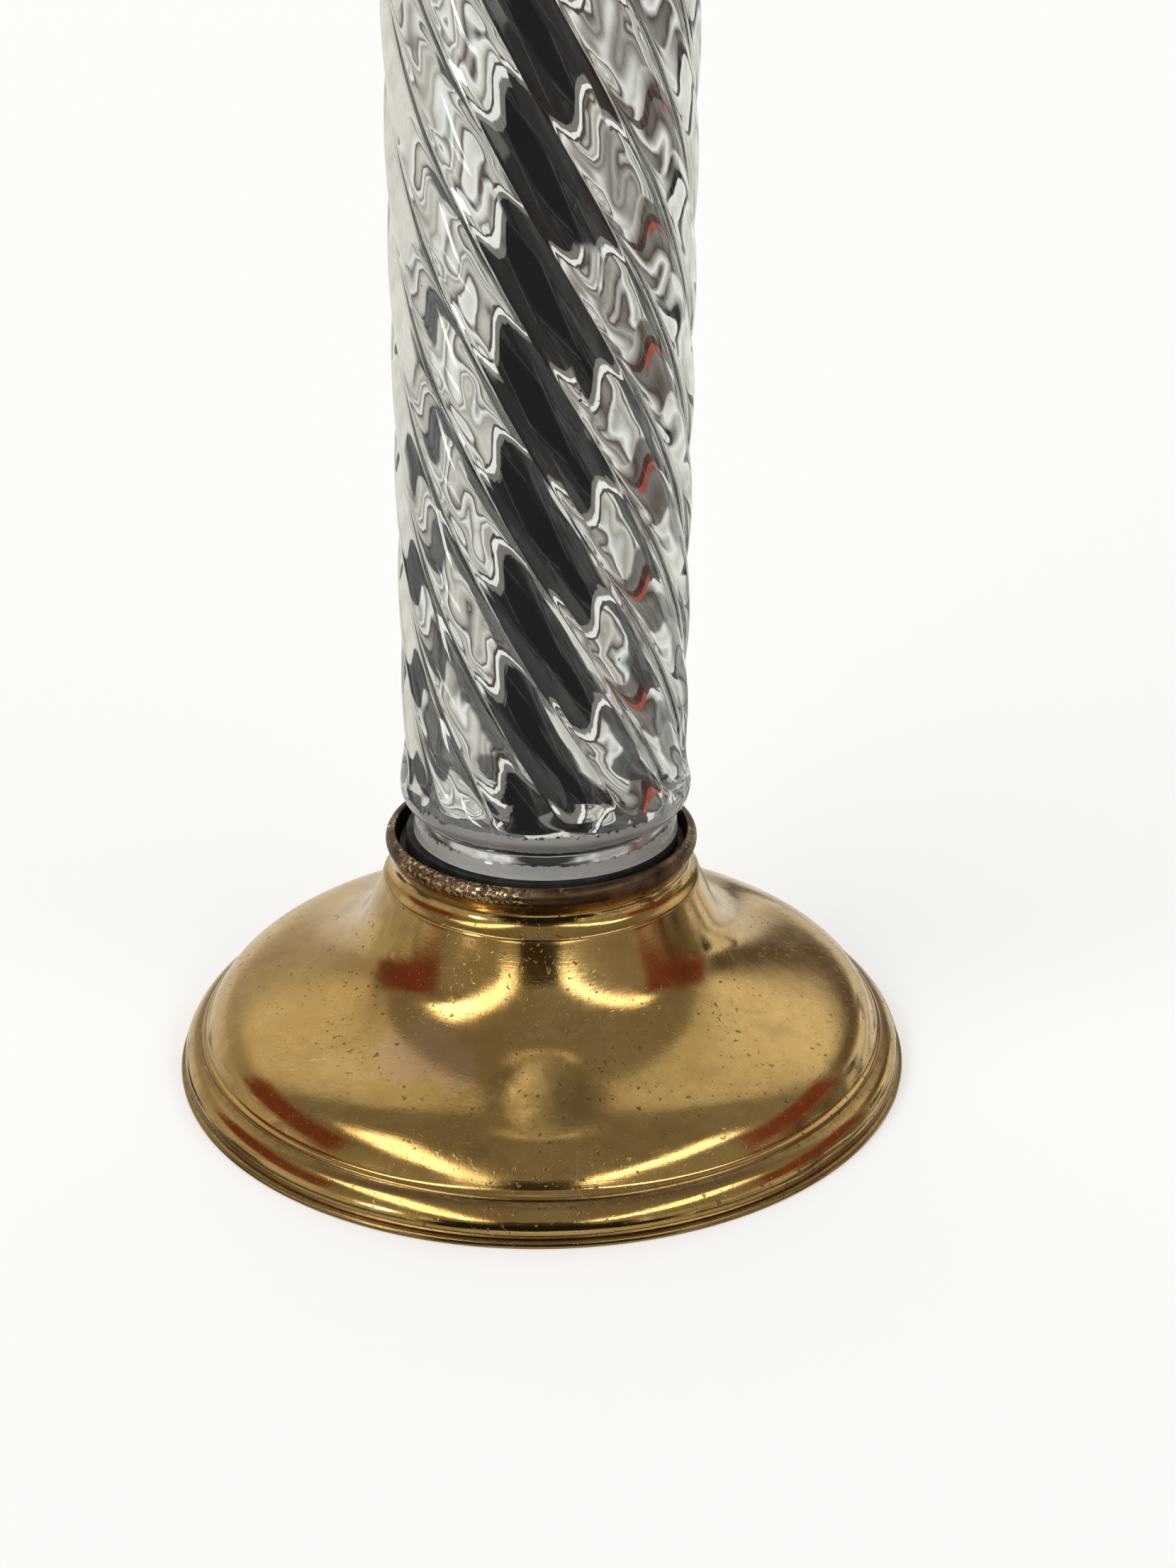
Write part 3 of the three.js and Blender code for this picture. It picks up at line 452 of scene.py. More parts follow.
# For each slot: a light and a dark shade, how fine the grain is, the roughness from and to, the
# relief in mm, and 1 for metal.
PLAIN_LOOKS = {
    "milk_glass": ((0.95, 0.93, 0.89), (0.9, 0.88, 0.83), 30, (0.12, 0.2), 0.02, 0),
    "frosted_glass": ((0.93, 0.93, 0.9), (0.88, 0.88, 0.86), 200, (0.3, 0.42), 0.004, 0),
    "clear_glass": ((0.96, 0.98, 0.97), (0.93, 0.96, 0.95), 60, (0.0, 0.05), 0.01, 0),
    "cast_iron": ((0.13, 0.12, 0.115), (0.045, 0.04, 0.038), 180, (0.55, 0.8), 0.25, 0.7),
    "steel": ((0.6, 0.6, 0.58), (0.4, 0.4, 0.4), 240, (0.28, 0.48), 0.02, 1),
    "rubber": ((0.03, 0.03, 0.032), (0.01, 0.01, 0.011), 300, (0.5, 0.8), 0.06, 0),
    "felt": ((0.035, 0.11, 0.06), (0.012, 0.05, 0.026), 900, (0.85, 1.0), 0.3, 0),
    "cork": ((0.52, 0.35, 0.19), (0.2, 0.11, 0.05), 260, (0.75, 0.95), 0.3, 0),
    "porcelain": ((0.84, 0.81, 0.74), (0.78, 0.74, 0.66), 90, (0.1, 0.2), 0.02, 0),
    "fibre": ((0.36, 0.25, 0.16), (0.22, 0.14, 0.08), 500, (0.7, 0.9), 0.05, 0),
    "black_plastic": ((0.022, 0.022, 0.024), (0.012, 0.012, 0.013), 220, (0.2, 0.36), 0.02, 0),
    "black_insulation": ((0.03, 0.03, 0.032), (0.015, 0.015, 0.016), 400, (0.4, 0.6), 0.02, 0),
    "white_insulation": ((0.75, 0.72, 0.66), (0.62, 0.58, 0.5), 400, (0.4, 0.6), 0.02, 0),
    "socket_brass": ((0.68, 0.55, 0.28), (0.48, 0.37, 0.17), 150, (0.2, 0.36), 0.02, 1),
    "bulb_brass": ((0.68, 0.6, 0.42), (0.5, 0.43, 0.28), 150, (0.22, 0.38), 0.02, 1),
    "screw_brass": ((0.72, 0.57, 0.28), (0.5, 0.38, 0.17), 300, (0.2, 0.36), 0.02, 1),
    "tungsten": ((0.3, 0.3, 0.31), (0.16, 0.16, 0.17), 900, (0.3, 0.5), 0.01, 1),
}
SETTINGS = {
    "milk_glass": {
        "subsurface_weight": 0.3,
        "subsurface_scale": 0.006,
        "coat_weight": 0.25,
        "coat_roughness": 0.03,
    },
    "clear_glass": {"transmission_weight": 0.95, "ior": 1.5},
    "felt": {"sheen_weight": 0.6, "sheen_roughness": 0.5},
    "porcelain": {"coat_weight": 0.5},
}
LOOKS = {
    slot: simple_look(slot, *numbers, **SETTINGS.get(slot, {}))
    for slot, numbers in PLAIN_LOOKS.items()
}
LOOKS["silvered_glass"] = silvering()
LOOKS["brass"] = aged_brass("cap_brass", [(CAP_BEAD_Z, 3.6, 0.5), (CAP_TOP_Z, 2.2, 0.55)])
BEAD_PATINA = worn_bead()

NODE_SLOTS = {part["node"]: part["material_slot"] for part in frame["record"]["subparts"]}


def finish_cad_nodes():
    """Every CAD node gets its slot's look; the ones rebuilt below are hidden when replaced."""
    for name, node in frame["nodes"].items():
        node.data.materials.clear()
        node.data.materials.append(LOOKS[NODE_SLOTS[name]])


finish_cad_nodes()


# ---- foot -----------------------------------------------------------------------------------
def along_y(obj, z):
    """Lays a piece turned about Z along +Y, at height z in mm."""
    obj.data.transform(Matrix.Translation((0, 0, z * MM)) @ Matrix.Rotation(-math.pi / 2, 4, "X"))
    return obj


def drill(obj, r, y0, y1, z):
    """Cuts a round hole along Y through obj."""
    tool = along_y(lathe("drill", [(0, y0), (r, y0), (r, y1), (0, y1)], sides=48), z)
    modifier = obj.modifiers.new("hole", "BOOLEAN")
    modifier.object = tool
    graph = bpy.context.evaluated_depsgraph_get()
    drilled = bpy.data.meshes.new_from_object(obj.evaluated_get(graph))
    obj.modifiers.clear()
    obj.data = drilled
    bpy.data.objects.remove(tool)


def collar_outside():
    """Convex edge, cove and bead, with the bead's middle at height 0."""
    edge = (COLLAR_EDGE_R, -COLLAR_H)
    cove = fair(
        [
            (COLLAR_EDGE_R - 0.35, -COLLAR_H + 0.75),
            (COLLAR_EDGE_R - 1.9, -COLLAR_H + 1.9),
            (COLLAR_EDGE_R - COVE_DEPTH, -COLLAR_H + 4.1),
            (COLLAR_EDGE_R - COVE_DEPTH, -COLLAR_H + 6.4),
            (COLLAR_EDGE_R - 2.2, -COLLAR_H + 8.3),
        ],
        14,
    )
    rolled = arc(0, 0, 1, -72, 100, 34) * (BEAD_W, BEAD_R) + (BEAD_RING_R + BEAD_R - BEAD_W, 0)
    lip = arc(BEAD_RING_R + 0.5, BEAD_R - 0.75, 0.5, 110, 180, 6)
    return joined([edge, (COLLAR_EDGE_R, -COLLAR_H + 0.35)], cove, rolled, lip)


def collar_inside():
    """The inside of the same sheet, with the step that the seat rests on."""
    throat = COLLAR_EDGE_R - COVE_DEPTH - SHEET
    return [
        (throat + 0.2, -3.4),
        (throat, -5.6),
        (35.5, -6),
        (35.5, -6.9),
        (throat + 0.8, -7.5),
    ]


def foot():
    """The spun brass foot with its fine lines, foot roll, crease ring, dome and collar."""
    r = FOOT_R
    band = fair([(r - 0.35, 0), (r - 0.08, 0.35), (r - 0.04, 1), (r - 0.2, 1.6), (r - 0.9, 1.95)], 12)
    fine_bead = fair([(r - 1.45, 2.1), (r - 1.15, 2.45), (r - 1.4, 2.8)], 7)
    roll = fair(
        [(r - 1.5, 3.0), (r - 1.35, 4.5), (r - 1.75, 6.1), (r - 2.7, 7.7), (r - 4.1, 9.1), (r - 5.7, 9.9)],
        26,
    )
    ring_bead = fair([(r - 6.05, 9.95), (r - 6.2, 10.45), (r - 6.65, 10.95), (r - 7.3, 11.2)], 9)
    dome = fair(
        [(r - 7.75, 11.6), (91.9, 15.4), (88, 19.6), (82, 22.9), (74, 25.7), (66, 28.6), (58, 32.7),
         (52, 37.9), (47.3, 46), (44.5, 52.6), (43.6, 54.9)],
        110,
    )
    collar = collar_outside() + (0, BEAD_Z)
    inside = [(42.5, 54), (45.9, 45.4), (50.8, 37), (57.4, 31.6), (65.6, 27.4), (82, 21.7),
              (87.3, 18.6), (90.8, 14.6), (93, 10), (96.6, 8.4), (r - 2.9, 4.4), (r - 2.9, 0)]
    lining = np.array(collar_inside()) + (0, BEAD_Z)
    outline = joined(band, fine_bead, roll, ring_bead, dome, collar, lining, inside)
    creases = [
        (2.2, 1.6, 0.9),
        (10, 1.5, 0.85),
        (0.4, 1.2, 0.5),
        (BEAD_Z - 2.9, 1.6, 0.9),
        (BEAD_Z - 10.6, 1.2, 0.3),
    ]
    rubbed_spots = [(-33, -56, 11), (-21, -63, 7)]
    brass = aged_brass("foot_brass", creases, rubbed_spots)
    obj = lathe("foot_spinning", outline, sides=256, sharp=50)
    low, high = mm_box("cord_bushing")
    under_flange = (high[0] - low[0]) / 2 - 0.6
    drill(obj, under_flange, low[1] - 3, high[1] + 2, (low[2] + high[2]) / 2)
    place(obj, "lamp", "brass", "base_shell", material=brass)
    obj.data.materials.append(BEAD_PATINA)
    for face in obj.data.polygons:
        face.material_index = int(face.center.z > (BEAD_Z - PATINA_REACH) * MM)


foot()


# ---- column ---------------------------------------------------------------------------------
RIBS = 13
RIB_PITCH = 28.65
CREASE_Z = 150  # a crease crosses the front of the column at this height
RIB_DEPTH = 2.3
RIB_START = 13.5  # the ribs stop this far from either end
RIB_FULL = 21
SILVER_DEPTH = 0.4  # the silvered face repeats the ribs more softly
WALL = 3.7  # glass in front of the silver
RIB_COLUMNS = 16  # columns of faces across one rib
ROUNDED_FROM, ROUNDING = 0.88, 5  # where the creases turn round, from crest 0 to crease 1
END_ZONE = 30  # the rows of faces are closer together this near either end
END_ROWS, MIDDLE_ROWS = 46, 146
LEAST_SILVER_R = 31.7
SILVER_HALF = 0.06
OUTER_WAVES, INNER_WAVES = 0.05, 0.06
WAVES = 14
WAVE_TURNS = 7
WAVE_RISE = 0.35


def end_radius(from_end):
    """Outer radius over the rib crests, against the distance from the nearer end."""
    profile = fair(
        [(0, 36.1), (2.6, 35.9), (5.2, 35.0), (6.9, 34.2), (7.6, 34.4), (8.5, 36.6), (10, 38.4),
         (12.6, 39.2), (15.5, 39.2), (19, 38.7), (24, 38.2), (32, 38.2)],
        240,
    )
    return np.interp(from_end, profile[:, 0], profile[:, 1])


def wobble(angle, height, seed):
    """Slow waves of hand-made glass, from -1 to 1, that close on themselves round the column."""
    rng = np.random.default_rng(seed)
    total = np.zeros(np.broadcast(angle, height).shape)
    for _ in range(WAVES):
        turns = rng.integers(-WAVE_TURNS, WAVE_TURNS + 1)
        rise = rng.uniform(-WAVE_RISE, WAVE_RISE)
        total = total + np.sin(turns * angle + rise * height + rng.uniform(0, 6.28))
    return total / 5


def ribbed_wall(outer):
    """Radius, angle and height grids of the outer glass face or of the silvered face."""
    end = np.linspace(0, END_ZONE, END_ROWS)
    middle = np.linspace(END_ZONE, GLASS_LENGTH - END_ZONE, MIDDLE_ROWS)
    heights = np.unique(np.r_[end, middle, GLASS_LENGTH - end])
    across = 0.5 - 0.5 * np.cos(np.pi * np.arange(RIB_COLUMNS) / RIB_COLUMNS)
    columns = np.array([(rib + t) / RIBS for rib in range(RIBS) for t in across])
    from_crest = np.abs(2 * ((columns * RIBS) % 1) - 1)
    h, u = np.meshgrid(heights, columns, indexing="ij")
    s = np.broadcast_to(from_crest, h.shape)
    from_end = np.minimum(h, GLASS_LENGTH - h)
    fade = np.clip((from_end - RIB_START) / (RIB_FULL - RIB_START), 0, 1)
    fade = fade * fade * (3 - 2 * fade)
    turn = -2 * np.pi * (GLASS_Z + h - CREASE_Z) / (RIB_PITCH * RIBS) - np.pi / 2
    angle = turn + 2 * np.pi * u
    if outer:
        rounding = ROUNDING * np.clip(s - ROUNDED_FROM, 0, None)**2
        radius = end_radius(from_end) - fade * RIB_DEPTH * (s**2 - rounding)
        radius = radius + OUTER_WAVES * wobble(angle, h, 3)
    else:
        soft = fade * SILVER_DEPTH * (0.5 - 0.5 * np.cos(np.pi * s))
        radius = end_radius(from_end) - WALL - soft
        radius = np.clip(radius, LEAST_SILVER_R, None) + INNER_WAVES * wobble(angle, h, 8)
    return radius, angle, h


def tube(name, outside, inside, sharp):
    """A closed tube between two walls that share their rows and columns."""
    vertices, sheets = [], []
    for radius, angle, h in (outside, inside):
        x = GLASS_X + radius * np.cos(angle)
        points = np.stack([x, radius * np.sin(angle), GLASS_Z + h], axis=-1)
        start = len(vertices)
        vertices.extend(points.reshape(-1, 3))
        sheets.append(start + np.arange(h.size).reshape(h.shape))
    faces = []
    outer, inner = sheets
    rows, columns = outer.shape
    for k in range(columns):
        n = (k + 1) % columns
        for i in range(rows - 1):
            faces.append([outer[i, k], outer[i, n], outer[i + 1, n], outer[i + 1, k]])
            faces.append([inner[i, k], inner[i + 1, k], inner[i + 1, n], inner[i, n]])
        faces.append([outer[0, n], outer[0, k], inner[0, k], inner[0, n]])
        faces.append([outer[-1, k], outer[-1, n], inner[-1, n], inner[-1, k]])
    return to_object(name, np.array(vertices) * MM, faces, sharp)


def column():
    """The glass and, just inside its inner face, the silver."""
    outside = ribbed_wall(True)
    radius, angle, h = ribbed_wall(False)
    glass = tube("column_glass", outside, (radius, angle, h), 35)
    place(glass, "lamp", "silvered_glass", "glass_column", material=column_glass())
    outer_face = (radius + SILVER_HALF, angle, h)
    inner_face = (radius - SILVER_HALF, angle, h)
    silver = tube("column_silver", outer_face, inner_face, 60)
    place(silver, "lamp", "silvered_glass")


column()


def seat_ring(node):
    """A rubber ring with rounded, slightly uneven edges."""
    low, high = mm_box(node)
    z0, z1 = low[2], high[2]
    skirt = [(39.3, z0), (39.3, z0 + 1.2), (39, z0 + 1.6), (37.4, z0 + 1.8)]
    outline = joined(
        skirt if node == "lower_seat_ring" else arc(36.4, z0 + 0.6, 0.6, -90, 0, 5),
        arc(36.2, z1 - 0.8, 0.8, 0, 90, 6),
        arc(30.6, z1 - 0.6, 0.6, 90, 180, 5),
        arc(30.6, z0 + 0.6, 0.6, 180, 270, 5),
    )

    def uneven(r, z, angles):
        return r - 0.12 + 0.1 * np.sin(5 * angles + z)

    place(lathe(f"{node}_rubber", outline, sides=160, shape=uneven), "lamp", "rubber", node)


seat_ring("lower_seat_ring")
seat_ring("upper_seat_ring")


def felt():
    """The felt pad, with softened edges."""
    r, _, top = mm_box("base_felt")[1]
    edge = joined(arc(r - 0.5, 0.5, 0.5, -90, 0, 4), arc(r - 0.4, top - 0.4, 0.4, 0, 90, 4))
    outline = joined([(0, 0)], edge, [(0, top)])
    place(lathe("felt_pad", outline), "lamp", "felt", "base_felt")


def cord_bush():
    """A moulded bush with a rounded flange and a softened bore."""
    low, high = mm_box("cord_bushing")
    r, y0, y1 = (high[0] - low[0]) / 2, low[1], high[1]
    bore = 3.6
    outline = joined(
        [(bore, y0), (r - 0.75, y0), (r - 0.7, y0 + 0.5), (r - 0.7, y1 - 1.15), (r - 0.1, y1 - 1.1)],
        arc(r - 0.45, y1 - 0.45, 0.45, 0, 90, 6),
        arc(bore + 0.5, y1 - 0.5, 0.5, 90, 180, 6),
    )
    bush = along_y(lathe("cord_bush", outline, sides=64), (low[2] + high[2]) / 2)
    place(bush, "lamp", "black_plastic", "cord_bushing")


felt()
cord_bush()


# ---- cap, globe holder and thumbscrews ------------------------------------------------------
def cap():
    """The brass cap: the foot's collar upside down, under a stepped top."""
    flip = (1, -1)
    outside = collar_outside()[::-1] * flip
    top = fair(
        [(COLLAR_EDGE_R - 0.1, COLLAR_H + 0.6), (42.7, 13.6), (40.6, 16.6), (36.8, 19.2), (31.5, 21),
         (25.6, 22.5), (21.9, 24.3), (20, 26.6), (19.2, 28.2)],
        60,
    )
    brim = [(18.9, 28.9), (PIPE_HOLE_R, 28.98), (PIPE_HOLE_R, 28.1), (18, 28.1)]
    inside = [(19.2, 25.6), (24.2, 22.1), (31.2, 20.2), (37.8, 17.8), (41.5, 13.4), (42.2, 11.4)]
    lining = np.array(collar_inside())[::-1] * flip
    outline = joined(outside, top, brim, inside, lining) + (0, CAP_BEAD_Z)
    obj = lathe("cap_spinning", outline, sides=256, sharp=50)
    place(obj, "lamp", "brass", "top_cap")
    obj.data.materials.append(BEAD_PATINA)
    for face in obj.data.polygons:
        face.material_index = int(face.center.z < (CAP_BEAD_Z + PATINA_REACH) * MM)


def holder():
    """The pressed cup that holds the globe, with three bosses for the thumbscrews."""
    z0, z1 = HOLDER_LOW[2], HOLDER_HIGH[2]
    rim_r, wall_r = 1.4, 44.2
    cup = joined(
        [(PIPE_HOLE_R, z0)],
        fair([(39, z0), (41.6, z0 + 0.5), (43.4, z0 + 1.9), (wall_r, z0 + 4.4)], 14),
        [(wall_r, z0 + 7), (wall_r + 0.45, z0 + 7.8), (wall_r + 0.45, z0 + 8.6), (wall_r, z0 + 9.4)],
        arc(wall_r + rim_r - SHEET, z1 - rim_r, rim_r, -110, 180, 18),
        fair([(wall_r - SHEET, z0 + 4.6), (42.6, z0 + 2.6), (41, z0 + 1.3), (39, z0 + SHEET)], 10),
        [(PIPE_HOLE_R, z0 + SHEET)],
    )
    place(lathe("holder_cup", cup, sides=256, sharp=50), "lamp", "brass", "globe_holder")
    for number in THUMBSCREWS:
        boss = [(2.05, 43.8), (3.6, 43.8), (3.6, 45.4), (3.2, 46), (2.05, 46)]
        obj = outward(lathe(f"holder_boss_{number}", boss, sides=48), number)
        place(obj, "lamp", "brass")


def outward(obj, number):
    """Points a piece turned about Z out along a thumbscrew's direction, at its height."""
    low, high = mm_box(f"thumbscrew_{number}")
    angle = math.pi / 2 + 2 * math.pi * (number - 1) / len(THUMBSCREWS)
    lift = Matrix.Translation((0, 0, (low[2] + high[2]) / 2 * MM))
    turn = Matrix.Rotation(angle, 4, "Z") @ Matrix.Rotation(math.pi / 2, 4, "Y")
    obj.data.transform(lift @ turn)
    return obj


def thread(depth, pitch, start, end):
    """Radii for lathe(): a helical thread cut into the run from start to end."""
    def shape(r, z, angles):
        wave = 0.5 + 0.5 * np.cos(2 * np.pi * z / pitch - angles)
        return np.full(len(angles), r) - depth * wave * (start < z < end)
    return shape


SHANK_R, GRIP_R = 1.95, 5.6
KNURL_TEETH, KNURL_DEPTH = 36, 0.3


def knurled_thumbscrew(number):
    """A screw with a thread and a knurled grip. Its outline runs out from the column's axis."""
    shank = [(SHANK_R, t) for t in np.arange(42.2, 48.6, 0.16)]
    tip = [(0, 41.55), (1.3, 41.6), (1.75, 41.95)]
    neck = [(SHANK_R, 48.9), (2.4, 49.4), (3, 49.95), (4.6, 50.02)]
    knurl = [(GRIP_R, t) for t in (50.5, 50.9, 53.1, 53.5)]
    grip = joined([(5.2, 50.15)], knurl, [(5.15, 53.85)])
    face = [(4.2, 53.98), (3.2, 53.7), (0, 53.6)]
    helix = thread(0.24, 0.8, 42.1, 48.7)

    def shape(r, t, angles):
        if r == GRIP_R:
            return r - KNURL_DEPTH * (0.5 + 0.5 * np.cos(KNURL_TEETH * angles))
        return helix(r, t, angles)

    outline = joined(tip, shank, neck, grip, face)
    obj = lathe(f"knurled_thumbscrew_{number}", outline, sides=216, shape=shape)
    place(outward(obj, number), f"thumbscrew_{number}", "brass", f"thumbscrew_{number}")


cap()
holder()
for number in THUMBSCREWS:
    knurled_thumbscrew(number)


# ---- globe, bulb and lamp holder ------------------------------------------------------------
BULB_R = 24
BULB_MIDDLE = 63  # above the bottom of the bulb's cap
BULB_WALL = 0.9
LAMP_PITCH = 3.6  # of the thread on the bulb's cap and in the lamp holder


def opal_globe():
    """The milk-glass globe, open below, with a rounded lip."""
    r, wall, neck, lip, bottom = GLOBE_HIGH[0], 2.8, 38, 41.25, GLOBE_LOW[2]
    middle = GLOBE_HIGH[2] - r
    inner = r - wall
    outer_start = -math.degrees(math.acos(neck / r))
    inner_start = -math.degrees(math.acos((neck - wall) / inner))
    outline = joined(
        arc(0, middle, inner, 90, inner_start, 72),
        [(neck - wall, bottom + 8), (neck - wall, bottom + 1), (neck - wall + 0.4, bottom + 0.2)],
        arc(lip - 1, bottom + 1, 1, -90, 0, 6),
        arc(lip - 1.6, bottom + 4.6, 1.6, 0, 80, 8),
        fair([(neck + 0.5, bottom + 6.8), (neck, bottom + 8), (neck, bottom + 18)], 12),
        arc(0, middle, r, outer_start + 1.5, 90, 84),
    )
    outline[0, 0] = outline[-1, 0] = 0
    place(lathe("opal_globe", outline, sides=192), "globe", "milk_glass", "globe")


def frosted_bulb():
    """The bulb's glass: a pear shape of even thickness."""
    base = mm_box("bulb_glass")[1][2] - (BULB_MIDDLE + BULB_R)
    side = fair([(12, 17), (12.1, 22), (12.8, 28), (15, 35), (18.6, 43), (21.6, 49.5), (23.5, 57)], 40)
    outside = joined(side, arc(0, BULB_MIDDLE, BULB_R, -11, 90, 40)) + (0, base)
    outside[-1, 0] = 0
    tangent = np.gradient(outside, axis=0)
    normal = np.column_stack([tangent[:, 1], -tangent[:, 0]])
    normal /= np.linalg.norm(normal, axis=1)[:, None]
    lining = outside - normal * BULB_WALL
    lining[-1, 0] = 0
    outline = joined(lining[::-1], outside)
    place(lathe("frosted_bulb", outline, sides=128), "bulb", "frosted_glass", "bulb_glass")


def bulb_screw_cap():
    """The bulb's cap, with its thread rolled into the sheet."""
    low, high = mm_box("bulb_cap")
    r, z0, z1 = high[0], low[2], high[2]
    wall = [(r, z) for z in np.arange(z0 + 3.2, z1 - 0.2, 0.3)]
    outline = joined(
        [(8.8, z0 + 0.6), (8.8, z0), (9.4, z0), (r - 0.6, z0 + 2.7)], wall,
        [(r - 0.1, z1), (12.3, z1), (12.3, z0 + 3.6)],
    )
    helix = thread(0.5, LAMP_PITCH, z0 + 3, z1 - 2)
    obj = lathe("bulb_screw_cap", outline, sides=128, shape=helix)
    place(obj, "bulb", "bulb_brass", "bulb_cap")


def screw_shell():
    """The threaded shell that takes the bulb's cap."""
    low, high = mm_box("screw_shell")
    r, z0, z1 = high[0], low[2], high[2]
    heights = np.arange(z0 + 1.2, z1 - 1, 0.3)
    outline = joined(
        [(8, z0 + 0.6), (8, z0), (r - 0.5, z0), (r, z0 + 0.6)], [(r, z) for z in heights],
        [(r, z1), (r - 0.4, z1)], [(r - 0.4, z) for z in heights[::-1]], [(r - 0.7, z0 + 0.7)],
    )
    helix = thread(0.25, LAMP_PITCH, z0 + 2, z1 - 1.2)
    obj = lathe("threaded_shell", outline, sides=128, shape=helix)
    place(obj, "lamp", "socket_brass", "screw_shell")


def socket_case():
    """The lamp holder's cap and shell, with the bead where they snap together."""
    low, high = mm_box("socket_cap")
    r, z0 = high[0], low[2]
    cap_outline = joined(
        [(4.9, z0), (8.2, z0), (8.5, z0 + 0.4), (8.5, z0 + 3.2)],
        fair([(8.9, z0 + 4), (11.6, z0 + 5.8), (14.8, z0 + 7), (17.2, z0 + 8.4), (r, z0 + 11)], 24),
        [(r, z0 + 17.4), (r - 0.2, z0 + 17.5), (r - 0.9, z0 + 17.5), (r - 0.9, z0 + 11.4)],
        [(16.3, z0 + 9.1), (11.4, z0 + 7), (4.9, z0 + 6)],
    )
    case_cap = lathe("socket_case_cap", cap_outline, sides=128)
    place(case_cap, "lamp", "socket_brass", "socket_cap")
    low, high = mm_box("socket_shell")
    r, top = high[0], high[2]
    shell_outline = joined(
        [(16.5, low[2]), (17.4, low[2]), (17.4, z0 + 17.9)],
        fair(
            [(r - 0.4, z0 + 18.2), (r, z0 + 18.9), (r, z0 + 20.2), (r - 0.5, z0 + 21), (17.8, z0 + 21.6)],
            16,
        ),
        [(17.8, top - 4.4), (18.15, top - 4), (18.15, top - 3.4), (17.8, top - 3)],
        [(17.8, top - 0.3), (17.6, top), (17.2, top), (17, top - 0.3), (17, z0 + 21), (16.5, z0 + 20)],
    )
    shell = lathe("socket_case_shell", shell_outline, sides=128)
    place(shell, "lamp", "socket_brass", "socket_shell")


opal_globe()
frosted_bulb()
bulb_screw_cap()
screw_shell()
socket_case()


# ---- floor, light and surroundings ----------------------------------------------------------
FLOOR_HALF = 30
FLOOR_GLOW = 0.45
WHITE = (1.0, 1.0, 1.0)


def floor():
    """A wide, pale floor that glows a little, and that the lamp does not mirror."""
    mesh = bpy.data.meshes.new("floor")
    half = FLOOR_HALF
    corners = [(-half, -half, 0), (half, -half, 0), (half, half, 0), (-half, half, 0)]
    mesh.from_pydata(corners, [], [(0, 1, 2, 3)])
    obj = bpy.data.objects.new("floor", mesh)
    bpy.context.scene.collection.objects.link(obj)
    look = Look("pale_floor", roughness=0.9, emission_strength=FLOOR_GLOW)
    mesh.materials.append(look.done(base_color=(0.87, 0.9, 0.96), emission_color=WHITE))
    obj.visible_glossy = False
    obj.visible_transmission = False


class Room(Nodes):
    """The light round the lamp as a function of direction: what its bright surfaces mirror.
    The azimuth is 0 at the camera and grows to its right. Over the height, x and y are places
    on a ceiling."""

    def __init__(self, world):
        world.use_nodes = True
        super().__init__(world.node_tree)
        self.place = self.add("ShaderNodeTexCoord").outputs["Generated"]
        parts = self.add("ShaderNodeSeparateXYZ", Vector=self.place)
        self.x, self.y, self.z = parts.outputs
        forward = self.math("MULTIPLY", self.y, -1)
        turn = self.math("ARCTAN2", self.x, forward)
        self.azimuth = self.math("MULTIPLY", turn, 180 / math.pi)
        rise = self.math("ARCSINE", self.z)
        self.elevation = self.math("MULTIPLY", rise, 180 / math.pi)
        self.height = self.math("MAXIMUM", self.z, 0.02)
        self.ripple = self.noise(6.0, detail=4, roughness=0.6)

    def between(self, value, low, high, soft):
        """1 between low and high, falling to 0 over soft beyond each."""
        after = self.step(value, self.math("SUBTRACT", low, soft), low)
        before = self.step(value, high, self.math("ADD", high, soft), 1, 0)
        return self.math("MULTIPLY", after, before)

    def patch(self, colour, centre, half_size, soft, tint, amount, ragged):
        """Lays a soft-edged patch of tint over colour, about (azimuth, elevation) in degrees."""
        drift = self.math("MULTIPLY_ADD", self.ripple, ragged, -ragged / 2)
        azimuth = self.math("ADD", self.azimuth, drift)
        across = self.between(azimuth, centre[0] - half_size[0], centre[0] + half_size[0], soft)
        up = self.between(self.elevation, centre[1] - half_size[1], centre[1] + half_size[1], soft)
        cover = self.math("MULTIPLY", self.math("MULTIPLY", across, up), amount)
        return self.mix(cover, colour, tint)

    def streaks(self, colour, span, tints, period, drift, seed):
        """Bands between two azimuths, a set of tints repeating each `period` degrees up and
        wandering by `drift` sets."""
        flat = self.add(
            "ShaderNodeCombineXYZ",
            X=self.math("MULTIPLY", self.azimuth, 0.035),
            Y=self.math("MULTIPLY", self.elevation, 0.06),
            Z=seed,
        )
        wander = self.noise(1.0, detail=1, roughness=0.5, at=flat.outputs[0])
        phase = self.math("MULTIPLY_ADD", wander, drift, self.math("DIVIDE", self.elevation, period))
        bands = self.ramp(self.math("FRACT", phase), *tints)
        cover = self.between(self.azimuth, span[0], span[1], 3)
        return self.mix(cover, colour, bands)


# x at the near and far ends, half width, and how far off the near and far ends are, all over
# the ceiling's height
CEILING_LIGHTS = ((-0.84, -0.95, 0.17, 0.35, 2.7), (1.26, 0.93, 0.16, 0.55, 2.8))


